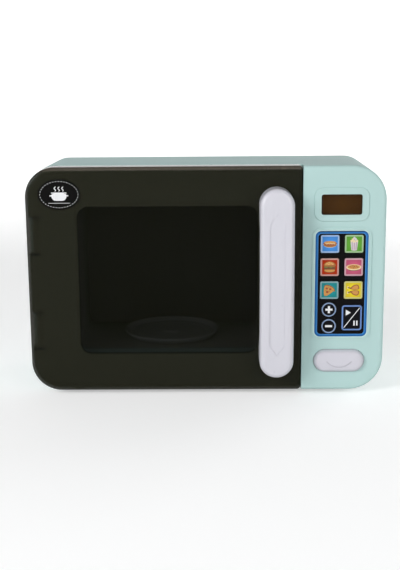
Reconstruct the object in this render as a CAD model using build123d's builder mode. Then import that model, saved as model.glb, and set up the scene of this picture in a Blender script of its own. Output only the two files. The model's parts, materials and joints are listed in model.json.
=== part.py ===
from build123d import *
from math import acos, cos, degrees, hypot, pi, radians, sin, sqrt, tan
import os

# Toy microwave oven: a battery toy with a smoky swing door, a turntable driven by a small gear
# train, a keypad with nine keys, a display and a push button that lets go of the door.
# Millimetres. X runs to the right, Y into the case, Z up, seen by the child in front of it.
# The origin is under the middle of the whole toy, on the surface that the feet stand on.
# In this file x is taken from the case's middle, depth from its front face and height from
# its underside.

os.makedirs("parts", exist_ok=True)

# ------------------------------------------------------------------ case
case_width = 320.0
case_height = 205.0
case_depth = 132.0
panel_width = 73.8
case_wall = 2.4
door_side_radius = 27.0
panel_side_radius = 30.5
front_edge_radius = 3.0
seam_depth = 35.0
rear_inset = 3.0
rear_corner_radius = 20.5
rear_edge_radius = 9.0
lip_length = 3.0
lip_thickness = 1.2
lip_clearance = 0.2
lip_overlap = 0.4
body_gap = 0.3
running_clearance = 0.05
root_overlap = 0.1
screw_end_gap = 1.0
short_screw_gap = 0.5
cut_past = 1.0

# ------------------------------------------------------------------ feet
foot_height = 4.0
foot_radius = 7.0
foot_spread = 120.0
front_foot_depth = 24.0
rear_foot_depth = 112.0
foot_stem_radius = 2.4
foot_stem_length = 3.6
foot_chamfer = 1.0
foot_pad_margin = 1.0

# ------------------------------------------------------------------ door
door_thickness = 13.5
door_plate = 2.6
door_rim = 2.4
door_back_gap = 0.4
door_side_gap = 0.4
door_inner_radius = 3.4
door_least_radius = 0.8
window_left_margin = 46.0
window_right_margin = 39.8
window_bottom_margin = 35.3
window_top_margin = 35.5
window_recess = 2.2
window_radius = 9.5
window_edge_radius = 1.0
badge_width = 37.4
badge_height = 27.0
badge_thickness = 0.8
badge_inset = 30.8
badge_drop = 23.9

# ------------------------------------------------------------------ door hinge
hinge_inset = 4.6
hinge_setback = 5.2
hinge_pin_radius = 1.5
knuckle_radius = 4.3
knuckle_length = 33.0
knuckle_rise = 56.5
knuckle_drop = 61.2
knuckle_gap = 0.4
pocket_clearance = 0.7
pocket_wall = 2.0
pocket_end_wall = 3.0

# ------------------------------------------------------------------ handle
handle_inset = 23.3
handle_width = 30.2
handle_bottom_margin = 17.0
handle_top_margin = 18.1
handle_stand = 24.0
handle_bow = 4.0
handle_bar = 10.5
handle_leg = 25.0
handle_edge_radius = 4.5
facet_width = 13.4
facet_end_margin = 30.4
facet_point_length = 8.8
facet_depth = 0.6
handle_screw_inset = 13.0
handle_screw_length = 12.0
handle_grip_slope = 12.0
handle_grip_radius = 9.0

# ------------------------------------------------------------------ control panel
display_inset = 39.8
display_drop = 34.4
display_pad_width = 48.5
display_pad_height = 30.1
display_pad_radius = 8.0
display_pad_rise = 1.0
display_pad_edge_radius = 0.8
display_width = 36.0
display_height = 18.2
display_radius = 2.0
display_flange = 1.6
display_flange_thickness = 1.0
lens_recess = 0.6
module_side_margin = 2.0
module_end_margin = 2.5
module_chamfer = 0.4
keypad_inset = 39.0
keypad_width = 49.0
keypad_bottom_margin = 49.4
keypad_top_margin = 57.0
keypad_radius = 6.0
keypad_thickness = 0.8
ring_width = 1.8
ring_rise = 0.8
food_keys = ("hot_dog_key", "popcorn_key", "burger_key", "pie_key", "pizza_key", "chicken_key")
food_key_rows = 3
key_side_margin = 5.2
key_top_margin = 4.1
key_bottom_margin = 6.5
key_gap = 4.2
key_radius = 2.0
round_key_radius = 6.9
round_key_gap = 1.5
play_key_gap = 5.2
play_key_width = 18.8
play_key_height = 24.0
play_key_radius = 3.0
key_rise = 0.8
key_clearance = 0.25
key_flange = 0.6
key_flange_thickness = 1.1
key_stem_radius = 3.2
key_stem_length = 1.3
key_edge_radius = 0.6
key_travel = 0.6
dome_radius = 4.2
dome_height = 0.7
dome_taper = 30.0
membrane_thickness = 1.0
membrane_width = 36.0

# ------------------------------------------------------------------ control board
board_thickness = 1.6
board_width = 54.0
board_inset = 42.1
board_bottom_margin = 48.2
board_top_margin = 16.8
board_post_radius = 2.6
board_post_inset = 2.8
chip_left = 8.0
chip_rise = 10.0
chip_radius = 7.0
chip_height = 1.8
chip_taper = 35.0
capacitor_right = 12.0
capacitor_drop = 12.0
capacitor_pitch = 9.0
capacitor_radius = 2.5
capacitor_length = 7.0
plug_drop = 45.0
plug_width = 22.0
plug_height = 5.5
plug_depth = 6.0
small_screw_radius = 1.2
small_head_radius = 2.3
small_head_height = 1.6

# ------------------------------------------------------------------ release button and latch
button_inset = 40.0
button_middle = 27.9
button_width = 45.7
button_height = 20.8
button_rise = 3.6
button_edge_radius = 3.2
button_clearance = 0.3
collar_depth = 9.0
collar_wall = 1.6
button_flange = 1.8
button_flange_thickness = 1.5
smile_width = 22.5
smile_drop = 5.5
smile_groove = 1.0
smile_depth = 0.5
stem_width = 16.0
stem_thickness = 3.0
stem_tip = 2.0
stem_rib = 6.0
hook_inset = 6.3
hook_width = 7.0
hook_middle = 56.5
hook_thickness = 4.6
hook_reach = 12.0
barb_drop = 2.2
barb_length = 4.0
barb_slope = 1.5
hook_tip_rise = 1.0
slot_clearance = 0.8
lever_depth = 44.0
lever_height = 44.0
lever_tube_radius = 3.6
lever_pin_radius = 1.5
lever_arm_thickness = 4.0
lever_nib_depth = 18.2
lever_nib_length = 3.0
nib_slope_drop = 1.5
nib_slope_run = 1.0
lever_toe = 2.0
lever_side_room = 3.0
latch_clearance = 0.35
bracket_thickness = 2.4
bracket_height = 6.0
bracket_eye_radius = 4.5
spring_radius = 3.0
spring_wire = 0.7
spring_depth = 31.0
spring_seat_height = 30.0
spring_seat_margin = 1.5
spring_turns = 4
spring_wire_sides = 6
coil_gap = 0.15

# ------------------------------------------------------------------ oven cavity
cavity_side_margin = 5.0
cavity_top_margin = 33.0
cavity_back_room = 15.7
cavity_radius = 9.0
liner_wall = 2.0
liner_flange = 3.0
liner_ear_offset = 6.5
liner_ear_height = 8.0
liner_ear_inset = 18.0
liner_boss_length = 6.0
liner_boss_radius = 3.0

# ------------------------------------------------------------------ turntable and gear train
plate_side_room = 4.0
plate_thickness = 1.8
plate_clearance = 1.6
plate_rim_height = 3.6
plate_lip = 1.2
plate_ring_inset = 12.0
plate_ring_depth = 0.6
socket_radius = 8.0
drive_flats = 9.0
drive_sides = 6
drive_height = 3.0
hub_drop = 0.8
hub_rise = 1.6
gear_module = 0.6
pinion_teeth = 12
wheel_teeth = 42
addendum = 0.75
dedendum = 1.1
backlash = 0.12
pressure_angle = 20.0
gear_face = 3.0
gear_step = 3.6
gear_floor_gap = 0.7
pinion_gap = 1.0
gear_pin_radius = 1.0
gear_hub_radius = 2.2
spindle_radius = 3.5
spindle_neck_radius = 2.4
spindle_journal_radius = 1.6
gearbox_wall = 1.8
gearbox_floor = 2.0
gearbox_clearance = 2.2
gearbox_hub_room = 3.6
gearbox_cover_plate = 2.0
gearbox_ear_drop = 8.0
gearbox_post_radius = 3.0
gearbox_ear_margin = 0.6
gearbox_screw_length = 8.0
train_directions = (0.0, 60.0, 0.0)
motor_radius = 10.0
motor_height = 18.0
motor_boss_radius = 3.0
motor_boss_height = 0.5
motor_shaft_radius = 1.0
motor_cup_floor = 1.4
motor_floor_room = 2.6
motor_flats = 16.0

# ------------------------------------------------------------------ lamp, speaker, power
lamp_setback = 45.7
lamp_drop = 32.0
lamp_radius = 5.5
lamp_collar_radius = 9.0
lamp_collar_wall = 1.6
lamp_collar_length = 5.0
lamp_board_thickness = 1.2
lamp_flange = 1.2
lamp_edge_radius = 0.8
led_radius = 2.5
led_tip_radius = 2.0
speaker_inset = 52.0
speaker_drop = 57.0
speaker_radius = 20.0
speaker_depth = 15.0
speaker_rim = 2.0
voice_coil_radius = 5.0
cone_depth = 4.0
cone_edge = 1.0
basket_depth = 8.2
magnet_radius = 10.0
speaker_ring = 5.0
grille_hole_radius = 1.5
grille_pitch = 6.5
grille_ring_holes = 6
cell_length = 50.5
cell_diameter = 14.5
cell_count = 3
cell_gap = 0.7
contact_room = 3.6
bay_inset = 56.0
bay_middle = 50.0
bay_depth = 17.0
bay_wall = 2.0
bay_ledge = 4.2
bay_top_ledge = 13.0
bay_pad = 3.0
cover_thickness = 2.0
cover_clearance = 0.3
cover_seat = 0.1
cover_head_recess = 1.0
cover_head_sink = 0.2
grip_rib_pitch = 4.0
grip_rib_count = 5
grip_rib_width = 1.4
grip_rib_depth = 0.6
tongue_width = 8.0
tongue_thickness = 1.2
tongue_length = 4.0
tongue_inset = 1.2
cover_screw_length = 8.0
contact_thickness = 0.5
contact_size = 10.0
contact_stud = 3.4
contact_reach = 3.2
contact_floor_gap = 1.0
leaf_root = 1.2
leaf_thickness = 0.7
switch_travel = 4.0
switch_knob = 5.0
switch_recess_width = 20.0
switch_recess_height = 11.0
switch_recess_depth = 1.6
switch_body_depth = 7.0
switch_pad = 4.0
carriage_thickness = 1.4
carriage_size = 7.0
knob_rib_pitch = 1.6
knob_rib_count = 3
switch_pin_pitch = 4.0
switch_pin_count = 3
switch_pin_width = 1.6
switch_pin_thickness = 0.6
switch_pin_length = 3.0

# ------------------------------------------------------------------ case screws
post_radius = 4.5
screw_radius = 1.3
screw_head_radius = 2.8
screw_head_height = 2.2
screw_length = 14.0
screw_seat = 5.0
screw_clearance = 0.4
cross_length = 3.4
cross_width = 0.7
cross_depth = 1.1
side_post_inset = 16.0
side_post_margin = 22.0
middle_post_inset = 15.8
middle_post_margin = 16.0
panel_post_inset = 10.0
panel_post_rise = 44.0
panel_post_drop = 45.0

# ------------------------------------------------------------------ worked out from the above
front_y = handle_stand - (case_depth + handle_stand) / 2
case_left = -case_width / 2
case_right = case_width / 2
back_inside = case_depth - case_wall
back_radius = rear_corner_radius + rear_inset

# Door, window, badge and handle.
door_width = case_width - panel_width - door_side_gap
door_right = case_left + door_width
panel_left = door_right + door_side_gap
landing = door_thickness + door_back_gap
landing_back = landing + case_wall
window_width = door_width - window_left_margin - window_right_margin
window_height = case_height - window_bottom_margin - window_top_margin
window_x = case_left + window_left_margin + window_width / 2
window_middle = window_bottom_margin + window_height / 2
badge_x = case_left + badge_inset
badge_middle = case_height - badge_drop
hinge_x = case_left + hinge_inset
hinge_depth = landing + hinge_setback
knuckle_heights = (knuckle_rise, case_height - knuckle_drop)
corner_swing = hypot(hinge_inset, hinge_setback)
rim_swing = hinge_setback + door_back_gap
hinge_relief = corner_swing + body_gap - rim_swing
relief_reach = hinge_inset + sqrt(corner_swing**2 - rim_swing**2) + body_gap
handle_x = door_right - handle_inset
handle_low = handle_bottom_margin
handle_high = case_height - handle_top_margin
handle_middle = (handle_low + handle_high) / 2
handle_screw_points = [
    (handle_x, handle_low + handle_screw_inset),
    (handle_x, handle_high - handle_screw_inset),
]

# Display, keypad and control board.
display_x = case_right - display_inset
display_middle = case_height - display_drop
keypad_x = case_right - keypad_inset
keypad_height = case_height - keypad_bottom_margin - keypad_top_margin
keypad_middle = keypad_bottom_margin + keypad_height / 2
keypad_top = keypad_bottom_margin + keypad_height
key_width = (keypad_width - 2 * key_side_margin - key_gap) / 2
food_key_room = keypad_height - key_top_margin - key_bottom_margin - play_key_height - play_key_gap
key_height = (food_key_room + key_gap) / food_key_rows - key_gap
key_columns = [keypad_x + way * (key_width + key_gap) / 2 for way in (-1, 1)]
key_rows = [
    keypad_top - key_top_margin - key_height / 2 - row * (key_height + key_gap)
    for row in range(food_key_rows)
]
play_key_x = key_columns[1] + (key_width - play_key_width) / 2
play_key_middle = keypad_bottom_margin + key_bottom_margin + play_key_height / 2
round_key_x = key_columns[0]
round_key_heights = [
    play_key_middle + way * (round_key_radius + round_key_gap / 2) for way in (1, -1)
]
key_flange_depth = case_wall + body_gap
key_stem_end = key_flange_depth + key_flange_thickness + key_stem_length
dome_depth = key_stem_end + key_travel + body_gap
membrane_depth = dome_depth + dome_height
board_depth = membrane_depth + membrane_thickness
board_back = board_depth + board_thickness
board_x = case_right - board_inset
board_height = case_height - board_bottom_margin - board_top_margin
board_middle = board_bottom_margin + board_height / 2
board_post_pitch = (board_width - 2 * board_post_inset, board_height - 2 * board_post_inset)

# Release button and latch.
button_x = case_right - button_inset
button_flange_depth = collar_depth + body_gap
hook_x = door_right - hook_inset
hook_bottom = hook_middle - hook_thickness / 2
barb_bottom = hook_bottom - barb_drop
hook_tip = landing + hook_reach
nib_top = barb_bottom - latch_clearance
bracket_left = hook_x - hook_width / 2 - lever_side_room - bracket_thickness
bracket_right = button_x + stem_width / 2 + lever_side_room
lever_left = bracket_left + bracket_thickness + body_gap
lever_right = bracket_right - body_gap
stem_end = lever_depth - lever_arm_thickness / 2 - body_gap

# Gear train from the motor up, and the oven cavity over it.
motor_bottom = case_wall + motor_floor_room + motor_cup_floor
motor_top = motor_bottom + motor_height
third_gear = motor_top + pinion_gap
second_gear = third_gear - gear_step
first_gear = second_gear - gear_step
gearbox_inside = first_gear - gear_floor_gap
gearbox_base_height = gearbox_inside - gearbox_floor
gearbox_top = third_gear + gear_face + gearbox_hub_room
gearbox_ear_top = gearbox_top - gearbox_ear_drop
cavity_floor = gearbox_top + gearbox_cover_plate + liner_wall
cavity_height = case_height - cavity_top_margin - cavity_floor
cavity_ceiling = cavity_floor + cavity_height
cavity_middle = cavity_floor + cavity_height / 2
cavity_width = window_width + 2 * cavity_side_margin
cavity_depth = case_depth - cavity_back_room - liner_wall - landing_back
cavity_x = window_x
ear_heights = (cavity_floor + liner_ear_inset, cavity_ceiling - liner_ear_inset)
ear_points = [
    (cavity_x + way * (cavity_width / 2 + liner_wall + liner_ear_offset), h)
    for way in (-1, 1)
    for h in ear_heights
]
lamp_wall = cavity_x + cavity_width / 2 + liner_wall
lamp_depth = landing_back + lamp_setback
lamp_height = cavity_ceiling - lamp_drop
spindle_depth = landing_back + cavity_depth / 2
plate_radius = cavity_depth / 2 - plate_side_room
plate_ring_radius = plate_radius - plate_ring_inset
plate_bottom = cavity_floor + plate_clearance
plate_top = plate_bottom + plate_thickness
pinion_radius = gear_module * pinion_teeth / 2
wheel_radius = gear_module * wheel_teeth / 2
wheel_tip = wheel_radius + addendum * gear_module
centre_distance = pinion_radius + wheel_radius

# Speaker, battery bay and power switch on the back.
speaker_x = case_right - speaker_inset
speaker_middle = case_height - speaker_drop
bay_x = case_right - bay_inset
bay_mouth = case_depth - cover_thickness
bay_front = bay_mouth - bay_depth
bay_width = cell_length + 2 * contact_room
bay_height = cell_count * (cell_diameter + cell_gap)
cover_width = bay_width + 2 * bay_ledge
cover_height = bay_height + bay_ledge + bay_top_ledge
cover_middle = bay_middle + (bay_top_ledge - bay_ledge) / 2
cover_top = cover_middle + cover_height / 2
cover_screw_height = bay_middle + bay_height / 2 + bay_top_ledge / 2
switch_x = bay_x
switch_middle = (cover_top + speaker_middle - speaker_radius - speaker_rim) / 2

# Screw towers.
middle_post_x = door_right - middle_post_inset
post_points = [
    (case_left + side_post_inset, side_post_margin),
    (case_left + side_post_inset, case_height - side_post_margin),
    (middle_post_x, middle_post_margin),
    (middle_post_x, case_height - middle_post_margin),
    (case_right - panel_post_inset, panel_post_rise),
    (case_right - panel_post_inset, case_height - panel_post_drop),
]


# ------------------------------------------------------------------ planes and outlines
def layer(depth, x=0.0, height=0.0):
    """A plane facing the child, this deep behind the case's front face."""
    return Plane(
        origin=(x, front_y + depth, foot_height + height), x_dir=(1, 0, 0), z_dir=(0, -1, 0)
    )


def level(height, x=0.0, depth=0.0):
    """A level plane, this high over the case's underside."""
    return Plane(origin=(x, front_y + depth, foot_height + height), x_dir=(1, 0, 0), z_dir=(0, 0, 1))


def side(x):
    """An upright plane across the toy: its own X runs into the case and its Y up."""
    return Plane(origin=(x, front_y, foot_height), x_dir=(0, 1, 0), z_dir=(1, 0, 0))


def case_outline(sketch, inset=0.0, door_radius=door_side_radius, panel_radius=panel_side_radius):
    """The case seen from the front, with tighter corners on the door's side."""
    with Locations((0, case_height / 2)):
        Rectangle(case_width - 2 * inset, case_height - 2 * inset)
    fillet(sketch.vertices().sort_by(Axis.X)[:2], door_radius - inset)
    fillet(sketch.vertices().sort_by(Axis.X)[-2:], panel_radius - inset)


def door_outline(sketch, inset=0.0):
    """The door seen from the front: round on the hinge side, square next to the panel."""
    with Locations((case_left + door_width / 2, case_height / 2)):
        Rectangle(door_width - 2 * inset, case_height - 2 * inset)
    fillet(sketch.vertices().sort_by(Axis.X)[:2], door_side_radius - inset)
    fillet(sketch.vertices().sort_by(Axis.X)[-2:], max(door_inner_radius - inset, door_least_radius))


def keep_right_of(x):
    """Cut the sketch back to what lies right of x."""
    with Locations((x - case_width / 2, case_height / 2)):
        Rectangle(case_width, 2 * case_height, mode=Mode.SUBTRACT)


def square_keys():
    return [(x, h) for h in key_rows for x in key_columns]


def round_keys():
    return [(round_key_x, h) for h in round_key_heights]


def all_keys():
    return square_keys() + round_keys() + [(play_key_x, play_key_middle)]


def key_outlines(grow=0.0):
    """All nine keys at once, each this much larger all round."""
    with Locations(*square_keys()):
        RectangleRounded(key_width + 2 * grow, key_height + 2 * grow, key_radius + grow)
    with Locations(*round_keys()):
        Circle(round_key_radius + grow)
    with Locations((play_key_x, play_key_middle)):
        RectangleRounded(
            play_key_width + 2 * grow, play_key_height + 2 * grow, play_key_radius + grow
        )


def gear_centre(step):
    """Where the train's axle stands: 0 the spindle, 1 and 2 the reduction gears, 3 the motor."""
    x = cavity_x
    depth = spindle_depth
    for direction in train_directions[:step]:
        x += centre_distance * cos(radians(direction))
        depth += centre_distance * sin(radians(direction))
    return (x, depth)


def gearbox_ears():
    """The gearbox's three screw ears: beyond the spindle, the motor and the second gear."""
    reach = wheel_tip + gearbox_clearance + gearbox_wall + gearbox_post_radius + body_gap
    motor_reach = (
        motor_radius + gearbox_clearance + gearbox_wall + gearbox_post_radius + body_gap
    )
    first = gear_centre(0)
    second = gear_centre(2)
    motor_place = gear_centre(3)
    return [
        (first[0] - reach, first[1]),
        (motor_place[0] + motor_reach, motor_place[1]),
        (second[0], second[1] + reach),
    ]


def export(name):
    export_step(name.part, f"parts/{name.part.label}.step")


# ------------------------------------------------------------------ front housing
with BuildPart() as front_housing:
    # Landing for the door, and the panel block that stands forward beside it.
    with BuildSketch(layer(landing)) as landing_face:
        case_outline(landing_face)
    extrude(amount=landing - seam_depth)
    with BuildSketch(layer(0)) as panel_face:
        case_outline(panel_face)
        keep_right_of(panel_left)
    extrude(amount=-landing)
    panel_edges = front_housing.faces().sort_by(Axis.Y)[0].edges()
    fillet(panel_edges.sort_by(Axis.X)[1:], front_edge_radius)
    # Hollow inside, in two steps like the outside.
    with BuildSketch(layer(landing_back)) as landing_core:
        case_outline(landing_core, case_wall)
    extrude(amount=landing_back - seam_depth, mode=Mode.SUBTRACT)
    with BuildSketch(layer(case_wall)) as panel_core:
        case_outline(panel_core, case_wall)
        keep_right_of(panel_left + case_wall)
    extrude(amount=case_wall - seam_depth, mode=Mode.SUBTRACT)
    # Raised pad round the display, and the raised ring round the keypad.
    with BuildSketch(layer(0, display_x, display_middle)):
        RectangleRounded(display_pad_width, display_pad_height, display_pad_radius)
    extrude(amount=display_pad_rise)
    fillet(front_housing.faces().sort_by(Axis.Y)[0].edges(), display_pad_edge_radius)
    with BuildSketch(layer(0, keypad_x, keypad_middle)):
        RectangleRounded(
            keypad_width + 2 * ring_width, keypad_height + 2 * ring_width, keypad_radius + ring_width
        )
        RectangleRounded(keypad_width, keypad_height, keypad_radius, mode=Mode.SUBTRACT)
    extrude(amount=ring_rise)
    with BuildSketch(layer(-ring_rise, keypad_x, keypad_middle)):
        RectangleRounded(keypad_width, keypad_height, keypad_radius)
    extrude(amount=-ring_rise - keypad_thickness, mode=Mode.SUBTRACT)
    # Openings for the display, the keys and the release button, whose collar guides it.
    with BuildSketch(layer(-display_pad_rise, display_x, display_middle)):
        RectangleRounded(display_width, display_height, display_radius)
    extrude(amount=-display_pad_rise - case_wall, mode=Mode.SUBTRACT)
    with BuildSketch(layer(0)):
        key_outlines(key_clearance)
    extrude(amount=-case_wall, mode=Mode.SUBTRACT)
    with BuildSketch(layer(case_wall, button_x, button_middle)):
        SlotOverall(
            button_width + 2 * (button_clearance + collar_wall),
            button_height + 2 * (button_clearance + collar_wall),
        )
    extrude(amount=case_wall - collar_depth)
    with BuildSketch(layer(0, button_x, button_middle)):
        SlotOverall(button_width + 2 * button_clearance, button_height + 2 * button_clearance)
    extrude(amount=-collar_depth, mode=Mode.SUBTRACT)
    # Mouth of the oven.
    with BuildSketch(layer(landing, cavity_x, cavity_middle)):
        RectangleRounded(cavity_width, cavity_height, cavity_radius)
    extrude(amount=-case_wall, mode=Mode.SUBTRACT)
    # Two corner pockets for the door's knuckles, open to the front and to the side.
    for middle in knuckle_heights:
        pocket = knuckle_length / 2 + knuckle_gap
        reach = knuckle_radius + pocket_clearance
        with BuildSketch(level(middle - pocket - pocket_end_wall)):
            with Locations((case_left, landing)):
                Rectangle(
                    hinge_inset + reach + pocket_wall,
                    hinge_setback + reach + pocket_wall,
                    align=(Align.MIN, Align.MIN),
                )
        extrude(amount=2 * (pocket + pocket_end_wall))
        with BuildSketch(level(middle - pocket)):
            with Locations((hinge_x, hinge_depth)):
                Circle(reach)
            with Locations((case_left - cut_past, landing - cut_past)):
                Rectangle(
                    hinge_inset + reach + cut_past,
                    hinge_setback + cut_past,
                    align=(Align.MIN, Align.MIN),
                )
                Rectangle(
                    hinge_inset + cut_past,
                    hinge_setback + reach + cut_past,
                    align=(Align.MIN, Align.MIN),
                )
        extrude(amount=2 * pocket, mode=Mode.SUBTRACT)
        with BuildSketch(level(middle - pocket - pocket_end_wall)):
            with Locations((hinge_x, hinge_depth)):
                Circle(hinge_pin_radius + running_clearance)
        extrude(amount=2 * (pocket + pocket_end_wall), mode=Mode.SUBTRACT)
    # Slot that the door's hook goes through.
    with BuildSketch(layer(landing, hook_x, hook_middle - barb_drop / 2)):
        Rectangle(hook_width + 2 * slot_clearance, hook_thickness + barb_drop + 2 * slot_clearance)
    extrude(amount=-case_wall, mode=Mode.SUBTRACT)
    # Posts: the case's screws, the liner's, and the control board's.
    for x, height in post_points:
        wall_back = case_wall if x > panel_left else landing_back
        with BuildSketch(layer(wall_back, x, height)):
            Circle(post_radius)
        extrude(amount=wall_back - seam_depth)
        with BuildSketch(layer(seam_depth, x, height)):
            Circle(screw_radius + running_clearance)
        extrude(amount=screw_length, mode=Mode.SUBTRACT)
    with BuildSketch(layer(landing_back)):
        with Locations(*ear_points):
            Circle(liner_boss_radius)
            Circle(small_screw_radius + running_clearance, mode=Mode.SUBTRACT)
    extrude(amount=-liner_boss_length)
    with BuildSketch(layer(case_wall, board_x, board_middle)):
        with GridLocations(*board_post_pitch, 2, 2):
            Circle(board_post_radius)
            Circle(small_screw_radius + running_clearance, mode=Mode.SUBTRACT)
    extrude(amount=case_wall - board_depth)
    # Two brackets that carry the latch lever's pin, and the seat of its spring.
    for x, start in ((bracket_left, landing_back), (bracket_right, case_wall)):
        with BuildSketch(side(x)):
            with Locations((start - root_overlap, lever_height)):
                Rectangle(
                    lever_depth - start + root_overlap,
                    bracket_height,
                    align=(Align.MIN, Align.CENTER),
                )
            with Locations((lever_depth, lever_height)):
                Circle(bracket_eye_radius)
                Circle(lever_pin_radius + running_clearance, mode=Mode.SUBTRACT)
        extrude(amount=bracket_thickness)
    with BuildSketch(side(bracket_left + bracket_thickness)):
        with Locations((landing_back, spring_seat_height)):
            Rectangle(
                spring_depth + spring_radius + spring_seat_margin - landing_back,
                bracket_thickness,
                align=(Align.MIN, Align.MAX),
            )
    extrude(amount=hook_x + spring_radius + spring_seat_margin - bracket_left - bracket_thickness)
    # Holes for the stems of the two front feet.
    with BuildSketch(level(0)):
        with Locations((-foot_spread, front_foot_depth), (foot_spread, front_foot_depth)):
            Circle(foot_stem_radius + running_clearance)
    extrude(amount=case_wall, mode=Mode.SUBTRACT)
front_housing.part.label = "front_housing"
export(front_housing)

# ------------------------------------------------------------------ rear housing
# Outer form: a drafted tub with rounder corners at the back.
with BuildPart() as rear_form:
    with BuildSketch(layer(seam_depth)) as seam_outline:
        case_outline(seam_outline)
    with BuildSketch(layer(case_depth)) as back_outline:
        case_outline(back_outline, rear_inset, back_radius, back_radius)
    loft()
    fillet(rear_form.faces().sort_by(Axis.Y)[-1].edges(), rear_edge_radius)

# Its hollow, one wall smaller.
with BuildPart() as rear_core:
    with BuildSketch(layer(seam_depth)) as seam_inside:
        case_outline(seam_inside, case_wall)
    with BuildSketch(layer(back_inside)) as back_core:
        case_outline(back_core, rear_inset + case_wall, back_radius, back_radius)
    loft()
    fillet(rear_core.faces().sort_by(Axis.Y)[-1].edges(), rear_edge_radius - case_wall)

# What stands inside it, trimmed to the outer form: screw towers, battery bay, switch pad.
with BuildPart() as rear_inner:
    with BuildSketch(layer(seam_depth)):
        with Locations(*post_points):
            Circle(post_radius)
    extrude(amount=seam_depth - case_depth)
    with BuildSketch(layer(bay_front - bay_wall, bay_x, bay_middle)):
        Rectangle(bay_width + 2 * bay_wall, bay_height + 2 * bay_wall)
    extrude(amount=bay_front - bay_wall - case_depth)
    with BuildSketch(layer(bay_mouth - bay_pad, bay_x, cover_middle)):
        RectangleRounded(cover_width + 2 * bay_wall, cover_height + 2 * bay_wall, bay_wall)
    extrude(amount=-cover_thickness - bay_pad)
    with BuildSketch(layer(bay_mouth - cover_screw_length, bay_x, cover_screw_height)):
        Circle(post_radius)
    extrude(amount=-cover_screw_length)
    with BuildSketch(layer(case_depth - switch_pad, switch_x, switch_middle)):
        RectangleRounded(
            switch_recess_width + 2 * case_wall, switch_recess_height + 2 * case_wall, case_wall
        )
    extrude(amount=-switch_pad)
    add(rear_form.part, mode=Mode.INTERSECT)

with BuildPart() as rear_housing:
    add(rear_form.part)
    add(rear_core.part, mode=Mode.SUBTRACT)
    add(rear_inner.part)
    # Lip that slips inside the front housing, and the root that carries it.
    with BuildSketch(layer(seam_depth + lip_length)) as lip_root:
        case_outline(lip_root, case_wall - lip_overlap)
        offset(amount=-lip_overlap - lip_clearance - lip_thickness, mode=Mode.SUBTRACT)
    extrude(amount=lip_length)
    with BuildSketch(layer(seam_depth)) as lip:
        case_outline(lip, case_wall + lip_clearance)
        offset(amount=-lip_thickness, mode=Mode.SUBTRACT)
    extrude(amount=lip_length)
    # Pads that bring the drafted underside level with the front feet.
    with BuildSketch(level(0)):
        with Locations((-foot_spread, rear_foot_depth), (foot_spread, rear_foot_depth)):
            Circle(foot_radius + foot_pad_margin)
    extrude(amount=foot_stem_length + case_wall)
    with BuildSketch(level(0)):
        with Locations((-foot_spread, rear_foot_depth), (foot_spread, rear_foot_depth)):
            Circle(foot_stem_radius + running_clearance)
    extrude(amount=foot_stem_length, mode=Mode.SUBTRACT)
    # Screw wells from the back, with a seat for each head.
    with BuildSketch(layer(case_depth)):
        with Locations(*post_points):
            Circle(screw_head_radius + screw_clearance)
    extrude(amount=case_depth - seam_depth - screw_seat, mode=Mode.SUBTRACT)
    with BuildSketch(layer(seam_depth + screw_seat)):
        with Locations(*post_points):
            Circle(screw_radius + screw_clearance)
    extrude(amount=screw_seat, mode=Mode.SUBTRACT)
    # Battery bay with a ledge for its cover, and the pilot hole of the cover's screw.
    with BuildSketch(layer(case_depth, bay_x, cover_middle)):
        RectangleRounded(
            cover_width + 2 * cover_clearance, cover_height + 2 * cover_clearance, bay_wall
        )
    extrude(amount=cover_thickness, mode=Mode.SUBTRACT)
    with BuildSketch(layer(case_depth, bay_x, bay_middle)):
        Rectangle(bay_width, bay_height)
    extrude(amount=cover_thickness + bay_depth, mode=Mode.SUBTRACT)
    with BuildSketch(layer(case_depth, bay_x, cover_screw_height)):
        Circle(screw_radius + running_clearance)
    extrude(amount=cover_thickness + cover_screw_length - screw_end_gap, mode=Mode.SUBTRACT)
    # Recess and slot of the power switch.
    with BuildSketch(layer(case_depth, switch_x, switch_middle)):
        RectangleRounded(switch_recess_width, switch_recess_height, case_wall)
    extrude(amount=switch_recess_depth, mode=Mode.SUBTRACT)
    with BuildSketch(layer(case_depth, switch_x, switch_middle)):
        Rectangle(switch_knob + switch_travel + 2 * body_gap, switch_knob + 2 * body_gap)
    extrude(amount=switch_pad, mode=Mode.SUBTRACT)
    # Ring that holds the speaker, and its grille of holes.
    with BuildSketch(layer(back_inside + root_overlap, speaker_x, speaker_middle)):
        Circle(speaker_radius + running_clearance + speaker_rim)
        Circle(speaker_radius + running_clearance, mode=Mode.SUBTRACT)
    extrude(amount=speaker_ring)
    with BuildSketch(layer(case_depth, speaker_x, speaker_middle)):
        Circle(grille_hole_radius)
        with PolarLocations(grille_pitch, grille_ring_holes):
            Circle(grille_hole_radius)
        with PolarLocations(2 * grille_pitch, 2 * grille_ring_holes):
            Circle(grille_hole_radius)
    extrude(amount=case_wall, mode=Mode.SUBTRACT)
rear_housing.part.label = "rear_housing"
export(rear_housing)

# ------------------------------------------------------------------ feet and case screws
with BuildPart() as feet:
    for depth in (front_foot_depth, rear_foot_depth):
        with BuildSketch(level(-foot_height)):
            with Locations((-foot_spread, depth), (foot_spread, depth)):
                Circle(foot_radius)
        extrude(amount=foot_height)
        with BuildSketch(level(0)):
            with Locations((-foot_spread, depth), (foot_spread, depth)):
                Circle(foot_stem_radius)
        extrude(amount=case_wall)
    chamfer(feet.faces().filter_by(Axis.Z).group_by(Axis.Z)[0].edges(), foot_chamfer)
feet.part.label = "feet"
export(feet)

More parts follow.
